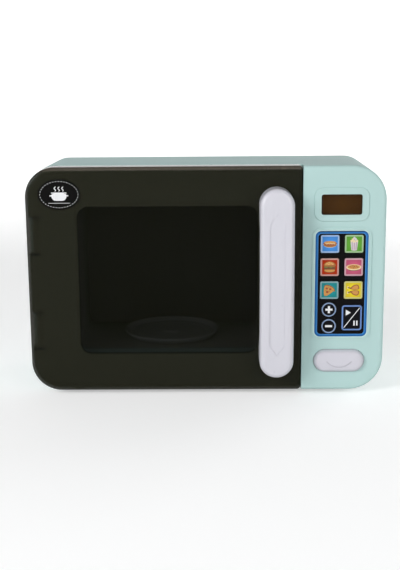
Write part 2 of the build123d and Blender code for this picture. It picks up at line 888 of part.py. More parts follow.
with BuildPart() as case_screws:
    with BuildSketch(layer(seam_depth + screw_seat)):
        with Locations(*post_points):
            Circle(screw_head_radius)
    extrude(amount=-screw_head_height)
    with BuildSketch(layer(seam_depth + screw_seat)):
        with Locations(*post_points):
            Circle(screw_radius)
    extrude(amount=screw_seat + screw_length - screw_end_gap)
    # Cross recess in each head.
    with BuildSketch(layer(seam_depth + screw_seat + screw_head_height)):
        with Locations(*post_points):
            Rectangle(cross_length, cross_width)
            Rectangle(cross_width, cross_length)
    extrude(amount=cross_depth, mode=Mode.SUBTRACT)
case_screws.part.label = "case_screws"
export(case_screws)

# ------------------------------------------------------------------ door
with BuildPart() as door_panel:
    # A tray: front plate with a rim all round that reaches back to the landing.
    with BuildSketch(layer(0)) as door_face:
        door_outline(door_face)
    extrude(amount=-door_thickness)
    fillet(door_panel.faces().sort_by(Axis.Y)[0].edges(), front_edge_radius)
    with BuildSketch(layer(door_plate)) as door_hollow:
        door_outline(door_hollow, door_rim)
    extrude(amount=door_plate - door_thickness, mode=Mode.SUBTRACT)
    # Along the hinge the rim is shorter, so that it swings past the landing's corner.
    with BuildSketch(layer(door_thickness)):
        with Locations((case_left, case_height / 2)):
            Rectangle(2 * relief_reach, case_height)
    extrude(amount=hinge_relief, mode=Mode.SUBTRACT)
    # The window is a pan pressed back into the plate.
    with BuildSketch(layer(door_plate, window_x, window_middle)):
        RectangleRounded(
            window_width + 2 * door_plate, window_height + 2 * door_plate, window_radius + door_plate
        )
    extrude(amount=-window_recess)
    with BuildSketch(layer(0, window_x, window_middle)):
        RectangleRounded(window_width, window_height, window_radius)
    extrude(amount=-window_recess, mode=Mode.SUBTRACT)
    front_face = door_panel.faces().sort_by(Axis.Y)[0]
    fillet(front_face.inner_wires().edges(), window_edge_radius)
    # Knuckles: a block inside the tray and a barrel round the hinge axis.
    for middle in knuckle_heights:
        with BuildSketch(level(middle - knuckle_length / 2)):
            with Locations((hinge_x, hinge_depth)):
                Circle(knuckle_radius)
            with Locations((hinge_x, hinge_depth)):
                Rectangle(
                    2 * knuckle_radius, hinge_depth - door_plate, align=(Align.CENTER, Align.MAX)
                )
        extrude(amount=knuckle_length)
        with BuildSketch(level(middle - knuckle_length / 2)):
            with Locations((hinge_x, hinge_depth)):
                Circle(hinge_pin_radius + running_clearance)
        extrude(amount=knuckle_length, mode=Mode.SUBTRACT)
    # Hook with a barb under its tip and a slanted lead-in.
    with BuildSketch(side(hook_x - hook_width / 2)):
        with BuildLine():
            Polyline(
                (door_plate, hook_bottom),
                (hook_tip - barb_length, hook_bottom),
                (hook_tip - barb_length, barb_bottom),
                (hook_tip - barb_slope, barb_bottom),
                (hook_tip, hook_bottom + hook_tip_rise),
                (hook_tip, hook_bottom + hook_thickness),
                (door_plate, hook_bottom + hook_thickness),
                close=True,
            )
        make_face()
    extrude(amount=hook_width)
    # Clearance holes for the handle's screws.
    with BuildSketch(layer(0)):
        with Locations(*handle_screw_points):
            Circle(small_screw_radius + screw_clearance)
    extrude(amount=-door_plate, mode=Mode.SUBTRACT)
door_panel.part.label = "door_panel"
export(door_panel)

with BuildPart() as hinge_pins:
    for middle in knuckle_heights:
        half = knuckle_length / 2 + knuckle_gap + pocket_end_wall
        with BuildSketch(level(middle - half)):
            with Locations((hinge_x, hinge_depth)):
                Circle(hinge_pin_radius)
        extrude(amount=2 * half)
hinge_pins.part.label = "hinge_pins"
export(hinge_pins)

with BuildPart() as door_badge:
    with BuildSketch(layer(0, badge_x, badge_middle)):
        Ellipse(badge_width / 2, badge_height / 2)
    extrude(amount=badge_thickness)
door_badge.part.label = "door_badge"
export(door_badge)

# ------------------------------------------------------------------ handle
def bow(stand):
    """The bowed line along the handle, this far proud of the door at its middle."""
    ends = stand - handle_bow
    ThreePointArc((-ends, handle_low), (-stand, handle_middle), (-ends, handle_high))


# Long pointed facet pressed into the grip, as deep along the whole bow.
with BuildPart() as grip_facet:
    with BuildSketch(side(handle_x - handle_width / 2)):
        with BuildLine():
            bow(handle_stand + cut_past)
            bow(handle_stand - facet_depth)
            for height in (handle_low, handle_high):
                Line(
                    (handle_bow - handle_stand - cut_past, height),
                    (handle_bow - handle_stand + facet_depth, height),
                )
        make_face()
    extrude(amount=handle_width)
    with BuildSketch(layer(0, handle_x)):
        facet_low = handle_low + facet_end_margin
        facet_high = handle_high - facet_end_margin
        Polygon(
            (-facet_width / 2, facet_low),
            (0, facet_low - facet_point_length),
            (facet_width / 2, facet_low),
            (facet_width / 2, facet_high),
            (0, facet_high + facet_point_length),
            (-facet_width / 2, facet_high),
        )
    extrude(amount=handle_stand + cut_past, mode=Mode.INTERSECT)

with BuildPart() as door_handle:
    # Side view: a bar bowed away from the door between two legs.
    with BuildSketch(side(handle_x - handle_width / 2)):
        with BuildLine():
            bow(handle_stand)
            Line((handle_bow - handle_stand, handle_high), (0, handle_high))
            Line((0, handle_high), (0, handle_low))
            Line((0, handle_low), (handle_bow - handle_stand, handle_low))
        make_face()
        with BuildLine():
            inner = handle_bar - handle_stand
            FilletPolyline(
                (0, handle_low + handle_leg),
                (inner + handle_bow / 2, handle_low + handle_leg + handle_grip_slope),
                (inner, handle_middle),
                (inner + handle_bow / 2, handle_high - handle_leg - handle_grip_slope),
                (0, handle_high - handle_leg),
                radius=handle_grip_radius,
            )
            Line((0, handle_high - handle_leg), (0, handle_low + handle_leg))
        make_face(mode=Mode.SUBTRACT)
    extrude(amount=handle_width)
    # Front view: a pill.
    with BuildSketch(layer(0, handle_x, handle_middle)):
        SlotOverall(handle_high - handle_low, handle_width, rotation=90)
    extrude(amount=handle_stand, mode=Mode.INTERSECT)
    outer_edges = door_handle.faces().sort_by(Axis.Y)[0].edges()
    fillet(outer_edges, handle_edge_radius)
    add(grip_facet.part, mode=Mode.SUBTRACT)
    # Pilot holes in the legs.
    with BuildSketch(layer(0)):
        with Locations(*handle_screw_points):
            Circle(small_screw_radius + running_clearance)
    extrude(amount=handle_screw_length, mode=Mode.SUBTRACT)
door_handle.part.label = "door_handle"
export(door_handle)

with BuildPart() as handle_screws:
    with BuildSketch(layer(door_plate)):
        with Locations(*handle_screw_points):
            Circle(small_head_radius)
    extrude(amount=-small_head_height)
    with BuildSketch(layer(door_plate)):
        with Locations(*handle_screw_points):
            Circle(small_screw_radius)
    extrude(amount=door_plate + handle_screw_length - screw_end_gap)
handle_screws.part.label = "handle_screws"
export(handle_screws)

# ------------------------------------------------------------------ display and keypad
with BuildPart() as display_lens:
    with BuildSketch(layer(case_wall, display_x, display_middle)):
        RectangleRounded(
            display_width - 2 * running_clearance,
            display_height - 2 * running_clearance,
            display_radius - running_clearance,
        )
    extrude(amount=case_wall + display_pad_rise - lens_recess)
    with BuildSketch(layer(case_wall, display_x, display_middle)):
        Rectangle(display_width + 2 * display_flange, display_height + 2 * display_flange)
    extrude(amount=-display_flange_thickness)
display_lens.part.label = "display_lens"
export(display_lens)

with BuildPart() as display_module:
    module_front = case_wall + display_flange_thickness
    with BuildSketch(layer(module_front, display_x, display_middle)):
        Rectangle(
            display_width + 2 * module_side_margin, display_height + 2 * module_end_margin
        )
    extrude(amount=module_front - board_depth)
    chamfer(display_module.faces().sort_by(Axis.Y)[0].edges(), module_chamfer)
display_module.part.label = "display_module"
export(display_module)

with BuildPart() as keypad_overlay:
    with BuildSketch(layer(0, keypad_x, keypad_middle)):
        RectangleRounded(
            keypad_width - 2 * running_clearance,
            keypad_height - 2 * running_clearance,
            keypad_radius - running_clearance,
        )
    extrude(amount=-keypad_thickness)
    with BuildSketch(layer(0)):
        key_outlines(key_clearance)
    extrude(amount=-keypad_thickness, mode=Mode.SUBTRACT)
keypad_overlay.part.label = "keypad_overlay"
export(keypad_overlay)


def key_cap(label, x, height, outline):
    """One key: a cap through the panel, a flange that keeps it in and a stem for the dome."""
    with BuildPart() as key:
        with BuildSketch(layer(key_flange_depth, x, height)):
            outline(0.0)
        extrude(amount=key_flange_depth + key_rise)
        fillet(key.faces().sort_by(Axis.Y)[0].edges(), key_edge_radius)
        with BuildSketch(layer(key_flange_depth, x, height)):
            outline(key_flange)
        extrude(amount=-key_flange_thickness)
        with BuildSketch(layer(key_flange_depth + key_flange_thickness, x, height)):
            Circle(key_stem_radius)
        extrude(amount=-key_stem_length)
    key.part.label = label
    export(key)


def square_outline(grow):
    RectangleRounded(key_width + 2 * grow, key_height + 2 * grow, key_radius + grow)


def round_outline(grow):
    Circle(round_key_radius + grow)


def play_outline(grow):
    RectangleRounded(play_key_width + 2 * grow, play_key_height + 2 * grow, play_key_radius + grow)


for label, (x, height) in zip(food_keys, square_keys()):
    key_cap(label, x, height, square_outline)
for label, (x, height) in zip(("plus_key", "minus_key"), round_keys()):
    key_cap(label, x, height, round_outline)
key_cap("play_key", play_key_x, play_key_middle, play_outline)

with BuildPart() as key_membrane:
    # Silicone sheet on the board with a dome behind each key.
    with BuildSketch(layer(membrane_depth, keypad_x, keypad_middle)):
        RectangleRounded(membrane_width, keypad_height, keypad_radius)
    extrude(amount=-membrane_thickness)
    with BuildSketch(layer(membrane_depth)):
        with Locations(*all_keys()):
            Circle(dome_radius)
    extrude(amount=dome_height, taper=dome_taper)
key_membrane.part.label = "key_membrane"
export(key_membrane)

with BuildPart() as control_board:
    with BuildSketch(layer(board_depth, board_x, board_middle)):
        Rectangle(board_width, board_height)
        with GridLocations(*board_post_pitch, 2, 2):
            Circle(small_screw_radius + screw_clearance, mode=Mode.SUBTRACT)
    extrude(amount=-board_thickness)
control_board.part.label = "control_board"
export(control_board)

with BuildPart() as board_components:
    # Sealed chip, two capacitors and the plug of the leads.
    with BuildSketch(layer(board_back, board_x - chip_left, board_middle + chip_rise)):
        Circle(chip_radius)
    extrude(amount=-chip_height, taper=chip_taper)
    with BuildSketch(layer(board_back, board_x + capacitor_right, board_middle - capacitor_drop)):
        with GridLocations(capacitor_pitch, 0, 2, 1):
            Circle(capacitor_radius)
    extrude(amount=-capacitor_length)
    with BuildSketch(layer(board_back, board_x, board_middle - plug_drop)):
        Rectangle(plug_width, plug_height)
    extrude(amount=-plug_depth)
board_components.part.label = "board_components"
export(board_components)

with BuildPart() as board_screws:
    with BuildSketch(layer(board_back, board_x, board_middle)):
        with GridLocations(*board_post_pitch, 2, 2):
            Circle(small_head_radius)
    extrude(amount=-small_head_height)
    with BuildSketch(layer(board_back, board_x, board_middle)):
        with GridLocations(*board_post_pitch, 2, 2):
            Circle(small_screw_radius)
    extrude(amount=board_back - case_wall - short_screw_gap)
board_screws.part.label = "board_screws"
export(board_screws)

# ------------------------------------------------------------------ release button and latch
with BuildPart() as release_button:
    with BuildSketch(layer(button_flange_depth, button_x, button_middle)):
        SlotOverall(button_width, button_height)
    extrude(amount=button_flange_depth + button_rise)
    fillet(release_button.faces().sort_by(Axis.Y)[0].edges(), button_edge_radius)
    # The smile pressed into its crown.
    with BuildSketch(layer(-button_rise, button_x, button_middle)):
        with BuildLine():
            ThreePointArc((-smile_width / 2, 0), (0, -smile_drop), (smile_width / 2, 0))
        trace(line_width=smile_groove)
    extrude(amount=-smile_depth, mode=Mode.SUBTRACT)
    # Flange that keeps it behind the collar, and the crossed stem that pushes the lever.
    with BuildSketch(layer(button_flange_depth, button_x, button_middle)):
        SlotOverall(button_width + 2 * button_flange, button_height + 2 * button_flange)
    extrude(amount=-button_flange_thickness)
    stem_start = button_flange_depth + button_flange_thickness
    with BuildSketch(layer(stem_start, button_x, button_middle)):
        Rectangle(stem_width, stem_tip)
        Rectangle(stem_thickness, stem_rib)
    extrude(amount=stem_start - stem_end + stem_tip)
    with BuildSketch(layer(stem_end - stem_tip, button_x, button_middle)):
        Rectangle(stem_width, stem_tip)
    extrude(amount=-stem_tip)
release_button.part.label = "release_button"
export(release_button)

with BuildPart() as latch_lever:
    # Tube on the pin, an arm forward to the hook and an arm down to the button.
    with BuildSketch(side(lever_left)):
        with Locations((lever_depth, lever_height)):
            Circle(lever_tube_radius)
    extrude(amount=lever_right - lever_left)
    with BuildSketch(side(hook_x - hook_width / 2)):
        with BuildLine():
            Polyline(
                (lever_depth, lever_height - lever_arm_thickness / 2),
                (lever_nib_depth, lever_height - lever_arm_thickness / 2),
                (lever_nib_depth, nib_top - nib_slope_drop),
                (lever_nib_depth + nib_slope_run, nib_top),
                (lever_nib_depth + lever_nib_length, nib_top),
                (lever_nib_depth + lever_nib_length, lever_height + lever_arm_thickness / 2),
                (lever_depth, lever_height + lever_arm_thickness / 2),
                close=True,
            )
        make_face()
    extrude(amount=hook_width)
    with BuildSketch(side(button_x - stem_width / 2)):
        with Locations((lever_depth, lever_height)):
            Rectangle(
                lever_arm_thickness,
                lever_height - button_middle + stem_tip + lever_toe,
                align=(Align.CENTER, Align.MAX),
            )
    extrude(amount=stem_width)
    with BuildSketch(side(lever_left)):
        with Locations((lever_depth, lever_height)):
            Circle(lever_pin_radius + running_clearance)
    extrude(amount=lever_right - lever_left, mode=Mode.SUBTRACT)
latch_lever.part.label = "latch_lever"
export(latch_lever)

with BuildPart() as lever_pin:
    with BuildSketch(side(bracket_left)):
        with Locations((lever_depth, lever_height)):
            Circle(lever_pin_radius)
    extrude(amount=bracket_right + bracket_thickness - bracket_left)
lever_pin.part.label = "lever_pin"
export(lever_pin)

with BuildPart() as latch_spring:
    coil_start = level(spring_seat_height + spring_wire / 2 + coil_gap, hook_x, spring_depth).origin
    coil_top = lever_height - lever_arm_thickness / 2 - spring_wire / 2 - coil_gap
    coil_height = coil_top - spring_seat_height - spring_wire / 2 - coil_gap
    with BuildLine():
        coil = Helix(
            coil_height / spring_turns, coil_height, spring_radius - spring_wire / 2, center=coil_start
        )
    with BuildSketch(Plane(origin=coil @ 0, z_dir=coil % 0)):
        RegularPolygon(spring_wire / 2, spring_wire_sides)
    sweep(is_frenet=True)
latch_spring.part.label = "latch_spring"
export(latch_spring)

# ------------------------------------------------------------------ oven cavity
with BuildPart() as cavity_liner:
    with BuildSketch(layer(landing_back, cavity_x, cavity_middle)):
        RectangleRounded(
            cavity_width + 2 * liner_wall, cavity_height + 2 * liner_wall, cavity_radius + liner_wall
        )
    extrude(amount=-cavity_depth - liner_wall)
    with BuildSketch(layer(landing_back, cavity_x, cavity_middle)):
        rim = liner_wall + liner_flange
        RectangleRounded(cavity_width + 2 * rim, cavity_height + 2 * rim, cavity_radius + rim)
    extrude(amount=-liner_wall)
    # Ears that the liner's screws go through.
    ear_depth = landing_back + liner_boss_length
    ear_span = cavity_width + 2 * (liner_wall + liner_ear_offset + liner_boss_radius)
    for height in ear_heights:
        with BuildSketch(layer(ear_depth, cavity_x, height)):
            RectangleRounded(ear_span, liner_ear_height, liner_boss_radius)
        extrude(amount=-liner_wall)
    # Posts under the floor for the gearbox, and a collar on the right wall for the lamp.
    with BuildSketch(level(gearbox_top)):
        with Locations(*gearbox_ears()):
            Circle(gearbox_post_radius)
    extrude(amount=gearbox_cover_plate)
    with BuildSketch(level(gearbox_ear_top)):
        with Locations(*gearbox_ears()):
            Circle(gearbox_post_radius)
    extrude(amount=gearbox_top - gearbox_ear_top)
    with BuildSketch(side(lamp_wall)):
        with Locations((lamp_depth, lamp_height)):
            Circle(lamp_collar_radius)
    extrude(amount=lamp_collar_length)
    with BuildSketch(layer(landing_back, cavity_x, cavity_middle)):
        RectangleRounded(cavity_width, cavity_height, cavity_radius)
    extrude(amount=-cavity_depth, mode=Mode.SUBTRACT)
    # Holes: ears, gearbox posts, spindle and lamp.
    with BuildSketch(layer(ear_depth)):
        with Locations(*ear_points):
            Circle(small_screw_radius + screw_clearance)
    extrude(amount=-liner_wall, mode=Mode.SUBTRACT)
    with BuildSketch(level(gearbox_ear_top)):
        with Locations(*gearbox_ears()):
            Circle(small_screw_radius + running_clearance)
    extrude(amount=gearbox_screw_length, mode=Mode.SUBTRACT)
    with BuildSketch(level(cavity_floor - liner_wall)):
        with Locations((cavity_x, spindle_depth)):
            Circle(spindle_radius + running_clearance)
    extrude(amount=liner_wall, mode=Mode.SUBTRACT)
    with BuildSketch(side(lamp_wall - liner_wall)):
        with Locations((lamp_depth, lamp_height)):
            Circle(lamp_radius + running_clearance)
    extrude(amount=liner_wall, mode=Mode.SUBTRACT)
    with BuildSketch(side(lamp_wall)):
        with Locations((lamp_depth, lamp_height)):
            Circle(lamp_collar_radius - lamp_collar_wall)
    extrude(amount=lamp_collar_length, mode=Mode.SUBTRACT)
cavity_liner.part.label = "cavity_liner"
export(cavity_liner)

with BuildPart() as liner_screws:
    with BuildSketch(layer(ear_depth + liner_wall)):
        with Locations(*ear_points):
            Circle(small_head_radius)
    extrude(amount=-small_head_height)
    with BuildSketch(layer(ear_depth + liner_wall)):
        with Locations(*ear_points):
            Circle(small_screw_radius)
    extrude(amount=liner_wall + liner_boss_length - short_screw_gap)
liner_screws.part.label = "liner_screws"
export(liner_screws)

# ------------------------------------------------------------------ lamp in the cavity's wall
with BuildPart() as lamp_lens:
    with BuildSketch(side(lamp_wall - liner_wall + body_gap)):
        with Locations((lamp_depth, lamp_height)):
            Circle(lamp_radius)
    extrude(amount=liner_wall - body_gap)
    with BuildSketch(side(lamp_wall)):
        with Locations((lamp_depth, lamp_height)):
            Circle(lamp_collar_radius - lamp_collar_wall - running_clearance)
    extrude(amount=lamp_flange)
    fillet(lamp_lens.faces().sort_by(Axis.X)[0].edges(), lamp_edge_radius)
lamp_lens.part.label = "lamp_lens"
export(lamp_lens)

with BuildPart() as lamp_board:
    with BuildSketch(side(lamp_wall + lamp_collar_length)):
        with Locations((lamp_depth, lamp_height)):
            Circle(lamp_collar_radius)
    extrude(amount=lamp_board_thickness)
lamp_board.part.label = "lamp_board"
export(lamp_board)

with BuildPart() as lamp_led:
    with BuildSketch(side(lamp_wall + lamp_collar_length)):
        with Locations((lamp_depth, lamp_height)):
            Circle(led_radius)
    extrude(amount=lamp_flange + body_gap - lamp_collar_length)
    fillet(lamp_led.faces().sort_by(Axis.X)[0].edges(), led_tip_radius)
lamp_led.part.label = "lamp_led"
export(lamp_led)

# ------------------------------------------------------------------ turntable
with BuildPart() as turntable_plate:
    # Half section turned round the spindle: hub, flat floor, upturned rim.
    with BuildSketch(side(cavity_x)) as plate_section:
        with BuildLine():
            Polyline(
                (spindle_depth, plate_bottom - hub_drop),
                (spindle_depth + socket_radius, plate_bottom - hub_drop),
                (spindle_depth + socket_radius, plate_bottom),
                (spindle_depth + plate_radius - plate_rim_height, plate_bottom),
                (spindle_depth + plate_radius, plate_bottom + plate_rim_height),
                (spindle_depth + plate_radius, plate_top + plate_rim_height),
                (spindle_depth + plate_radius - plate_lip, plate_top + plate_rim_height),
                (spindle_depth + plate_radius - plate_rim_height - plate_lip, plate_top),
                (spindle_depth + plate_ring_radius + plate_ring_depth, plate_top),
                (spindle_depth + plate_ring_radius, plate_top - plate_ring_depth),
                (spindle_depth + plate_ring_radius - plate_ring_depth, plate_top),
                (spindle_depth + socket_radius, plate_top),
                (spindle_depth + socket_radius - hub_rise, plate_top + hub_rise),
                (spindle_depth, plate_top + hub_rise),
                close=True,
            )
        make_face()
    revolve(axis=Axis(level(0, cavity_x, spindle_depth).origin, (0, 0, 1)))
    with BuildSketch(level(plate_bottom - hub_drop, cavity_x, spindle_depth)):
        RegularPolygon(drive_flats / 2 + running_clearance, drive_sides, major_radius=False)
    extrude(amount=drive_height + running_clearance, mode=Mode.SUBTRACT)
turntable_plate.part.label = "turntable_plate"
export(turntable_plate)

with BuildPart() as turntable_spindle:
    with BuildSketch(level(gearbox_inside - gearbox_floor + body_gap, cavity_x, spindle_depth)):
        Circle(spindle_journal_radius)
    extrude(amount=gearbox_floor)
    with BuildSketch(level(gearbox_inside + body_gap, cavity_x, spindle_depth)):
        Circle(spindle_neck_radius)
    extrude(amount=third_gear - gearbox_inside)
    with BuildSketch(level(third_gear, cavity_x, spindle_depth)):
        Circle(spindle_radius)
    extrude(amount=plate_bottom - hub_drop - third_gear)
    with BuildSketch(level(plate_bottom - hub_drop, cavity_x, spindle_depth)):
        RegularPolygon(drive_flats / 2, drive_sides, major_radius=False)
    extrude(amount=drive_height)
turntable_spindle.part.label = "turntable_spindle"
export(turntable_spindle)


# ------------------------------------------------------------------ gear train
def involute(angle):
    return tan(angle) - angle


def tooth_half_angle(teeth, radius):
    """Half the angle that a tooth takes up at this radius, from its involute flank."""
    pitch = gear_module * teeth / 2
    base = pitch * cos(radians(pressure_angle))
    slope = acos(base / max(radius, base))
    half = (pi * gear_module - backlash) / (4 * pitch)
    return degrees(half + involute(radians(pressure_angle)) - involute(slope))


def gear_outline(teeth, first_tooth):
    """Closed outline of a gear whose first tooth points in this direction, in degrees."""
    pitch = gear_module * teeth / 2
    radii = (pitch - dedendum * gear_module, pitch, pitch + addendum * gear_module)
    points = []
    for tooth in range(teeth):
        middle = first_tooth + tooth * 360 / teeth
        flank = [(r, tooth_half_angle(teeth, r)) for r in radii]
        edges = [(r, middle - half) for r, half in flank]
        edges += [(r, middle + half) for r, half in reversed(flank)]
        points += [(r * cos(radians(a)), r * sin(radians(a))) for r, a in edges]
    with BuildLine() as outline:
        Polyline(*points, close=True)
    make_face(outline.edges())


def opposite(direction):
    """The same line of centres, seen from the other axle."""
    return direction + 180


def tooth_gap_towards(direction, teeth):
    """Where the first tooth must point so that a gap faces this direction."""
    return direction + 180 / teeth


def reduction_gear(label, step, wheel_height):
    """A wheel driven by the next pinion, with its own pinion underneath driving the last wheel."""
    x, depth = gear_centre(step)
    towards_next = train_directions[step]
    back = opposite(train_directions[step - 1])
    with BuildPart() as gear:
        with BuildSketch(level(wheel_height - gear_step, x, depth)):
            gear_outline(pinion_teeth, tooth_gap_towards(back, pinion_teeth))
        extrude(amount=gear_step)
        with BuildSketch(level(wheel_height, x, depth)):
            gear_outline(wheel_teeth, towards_next)
        extrude(amount=gear_face)
        with BuildSketch(level(wheel_height + gear_face, x, depth)):
            Circle(gear_hub_radius)
        extrude(amount=gearbox_top - body_gap - wheel_height - gear_face)
        with BuildSketch(level(wheel_height - gear_step, x, depth)):
            Circle(gear_pin_radius + running_clearance)
        extrude(amount=gearbox_top - wheel_height + gear_step, mode=Mode.SUBTRACT)
    gear.part.label = label
    export(gear)


with BuildPart() as output_gear:
    with BuildSketch(level(first_gear, cavity_x, spindle_depth)):
        gear_outline(wheel_teeth, train_directions[0])
        Circle(spindle_neck_radius, mode=Mode.SUBTRACT)
    extrude(amount=gear_face)
output_gear.part.label = "output_gear"
export(output_gear)

reduction_gear("slow_gear", 1, second_gear)
reduction_gear("fast_gear", 2, third_gear)

with BuildPart() as motor_pinion:
    with BuildSketch(level(third_gear - body_gap, *gear_centre(3))):
        gear_outline(pinion_teeth, tooth_gap_towards(opposite(train_directions[2]), pinion_teeth))
        Circle(motor_shaft_radius, mode=Mode.SUBTRACT)
    extrude(amount=gear_face + 2 * body_gap)
motor_pinion.part.label = "motor_pinion"
export(motor_pinion)

with BuildPart() as motor_shaft:
    with BuildSketch(level(motor_top - motor_height / 2, *gear_centre(3))):
        Circle(motor_shaft_radius)
    extrude(amount=third_gear + gear_face + pinion_gap - motor_top + motor_height / 2)
motor_shaft.part.label = "motor_shaft"
export(motor_shaft)

with BuildPart() as motor:
    with BuildSketch(level(motor_bottom, *gear_centre(3))):
        Circle(motor_radius)
        Rectangle(2 * motor_radius, motor_flats, mode=Mode.INTERSECT)
    extrude(amount=motor_height)
    with BuildSketch(level(motor_top, *gear_centre(3))):
        Circle(motor_boss_radius)
    extrude(amount=motor_boss_height)
    with BuildSketch(level(motor_top - motor_height / 2, *gear_centre(3))):
        Circle(motor_shaft_radius + running_clearance)
    extrude(amount=motor_height, mode=Mode.SUBTRACT)
motor.part.label = "motor"
export(motor)


def gearbox_outline(wall, ears=False):
    """Outline round the whole train, this much wider than the clearance round the gears."""
    with BuildSketch(Plane.XY) as rounds:
        for step in range(3):
            with Locations(gear_centre(step)):
                Circle(wheel_tip + gearbox_clearance + wall)
        with Locations(gear_centre(3)):
            Circle(motor_radius + gearbox_clearance + wall)
        if ears:
            with Locations(*gearbox_ears()):
                Circle(gearbox_post_radius + gearbox_ear_margin)
    make_hull(rounds.edges())


with BuildPart() as gearbox_base:
    with BuildSketch(level(gearbox_base_height)):
        gearbox_outline(gearbox_wall)
    extrude(amount=gearbox_top - gearbox_base_height)
    # Flange with the three ears that hang from the liner's posts.
    with BuildSketch(level(gearbox_ear_top - gearbox_floor)):
        gearbox_outline(gearbox_wall, ears=True)
        with Locations(*gearbox_ears()):
            Circle(small_screw_radius + screw_clearance, mode=Mode.SUBTRACT)
    extrude(amount=gearbox_floor)
    with BuildSketch(level(gearbox_inside)):
        gearbox_outline(0)
    extrude(amount=gearbox_top - gearbox_inside, mode=Mode.SUBTRACT)
    # Cup for the motor.
    with BuildSketch(level(motor_bottom - motor_cup_floor, *gear_centre(3))):
        Circle(motor_radius + running_clearance + gearbox_wall)
    extrude(amount=gearbox_inside - motor_bottom + motor_cup_floor)
    with BuildSketch(level(motor_bottom, *gear_centre(3))):
        Circle(motor_radius + running_clearance)
    extrude(amount=motor_height, mode=Mode.SUBTRACT)
    # Bosses under the two reduction gears, their pins' holes and the spindle's bearing.
    for step, height in ((1, second_gear - gear_step), (2, third_gear - gear_step)):
        with BuildSketch(level(gearbox_inside, *gear_centre(step))):
            Circle(gear_hub_radius)
        extrude(amount=height - body_gap - gearbox_inside)
        with BuildSketch(level(gearbox_base_height, *gear_centre(step))):
            Circle(gear_pin_radius)
        extrude(amount=height - gearbox_base_height, mode=Mode.SUBTRACT)
    with BuildSketch(level(gearbox_base_height, *gear_centre(0))):
        Circle(spindle_journal_radius + running_clearance)
    extrude(amount=gearbox_floor, mode=Mode.SUBTRACT)
gearbox_base.part.label = "gearbox_base"
export(gearbox_base)

with BuildPart() as gearbox_cover:
    with BuildSketch(level(gearbox_top)):
        gearbox_outline(gearbox_wall)
        for step in (1, 2):
            with Locations(gear_centre(step)):
                Circle(gear_pin_radius, mode=Mode.SUBTRACT)
        with Locations(gear_centre(0)):
            Circle(spindle_radius + running_clearance, mode=Mode.SUBTRACT)
    extrude(amount=gearbox_cover_plate)
gearbox_cover.part.label = "gearbox_cover"
export(gearbox_cover)

with BuildPart() as gear_pins:
    for step in (1, 2):
        with BuildSketch(level(gearbox_base_height, *gear_centre(step))):
            Circle(gear_pin_radius)
        extrude(amount=gearbox_top + gearbox_cover_plate - gearbox_base_height)
gear_pins.part.label = "gear_pins"
export(gear_pins)

with BuildPart() as gearbox_screws:
    with BuildSketch(level(gearbox_ear_top - gearbox_floor)):
        with Locations(*gearbox_ears()):
            Circle(small_head_radius)
    extrude(amount=-small_head_height)
    with BuildSketch(level(gearbox_ear_top - gearbox_floor)):
        with Locations(*gearbox_ears()):
            Circle(small_screw_radius)
    extrude(amount=gearbox_floor + gearbox_screw_length - screw_end_gap)
gearbox_screws.part.label = "gearbox_screws"
export(gearbox_screws)

# ------------------------------------------------------------------ speaker
with BuildPart() as speaker:
    # Half section turned round its axis: rim, cone basket and magnet.
    with BuildSketch(side(speaker_x)) as speaker_section:
        with BuildLine():
            Polyline(
                (back_inside - cone_depth, speaker_middle),
                (back_inside - cone_depth, speaker_middle + voice_coil_radius),
                (back_inside - cone_edge, speaker_middle + speaker_radius - speaker_rim),
                (back_inside, speaker_middle + speaker_radius - speaker_rim),
                (back_inside, speaker_middle + speaker_radius),
                (back_inside - speaker_rim, speaker_middle + speaker_radius),
                (back_inside - basket_depth, speaker_middle + magnet_radius + speaker_rim),
                (back_inside - basket_depth, speaker_middle + magnet_radius),
                (back_inside - speaker_depth, speaker_middle + magnet_radius),
                (back_inside - speaker_depth, speaker_middle),
                close=True,
            )
        make_face()
    revolve(axis=Axis(layer(0, speaker_x, speaker_middle).origin, (0, 1, 0)))
speaker.part.label = "speaker"
export(speaker)

# ------------------------------------------------------------------ battery bay
with BuildPart() as battery_cover:
    with BuildSketch(layer(case_depth, bay_x, cover_middle)):
        RectangleRounded(cover_width, cover_height, bay_wall - cover_clearance)
    extrude(amount=cover_thickness - cover_seat)
    with BuildSketch(layer(case_depth, bay_x, cover_screw_height)):
        Circle(screw_radius + screw_clearance)
    extrude(amount=cover_thickness, mode=Mode.SUBTRACT)
    with BuildSketch(layer(case_depth, bay_x, cover_screw_height)):
        Circle(screw_head_radius + screw_clearance)
    extrude(amount=cover_head_recess, mode=Mode.SUBTRACT)
    # Grip ribs for a thumb, and two tongues that locate its lower edge in the bay.
    with BuildSketch(layer(case_depth, bay_x, bay_middle)):
        with GridLocations(0, grip_rib_pitch, 1, grip_rib_count):
            SlotOverall(bay_width / 2, grip_rib_width)
    extrude(amount=grip_rib_depth, mode=Mode.SUBTRACT)
    tongue_height = bay_middle - bay_height / 2 + tongue_inset
    with BuildSketch(layer(bay_mouth + cover_seat, bay_x, tongue_height)):
        with GridLocations(bay_width / 2, 0, 2, 1):
            Rectangle(tongue_width, tongue_thickness)
    extrude(amount=tongue_length + cover_seat)
battery_cover.part.label = "battery_cover"
export(battery_cover)

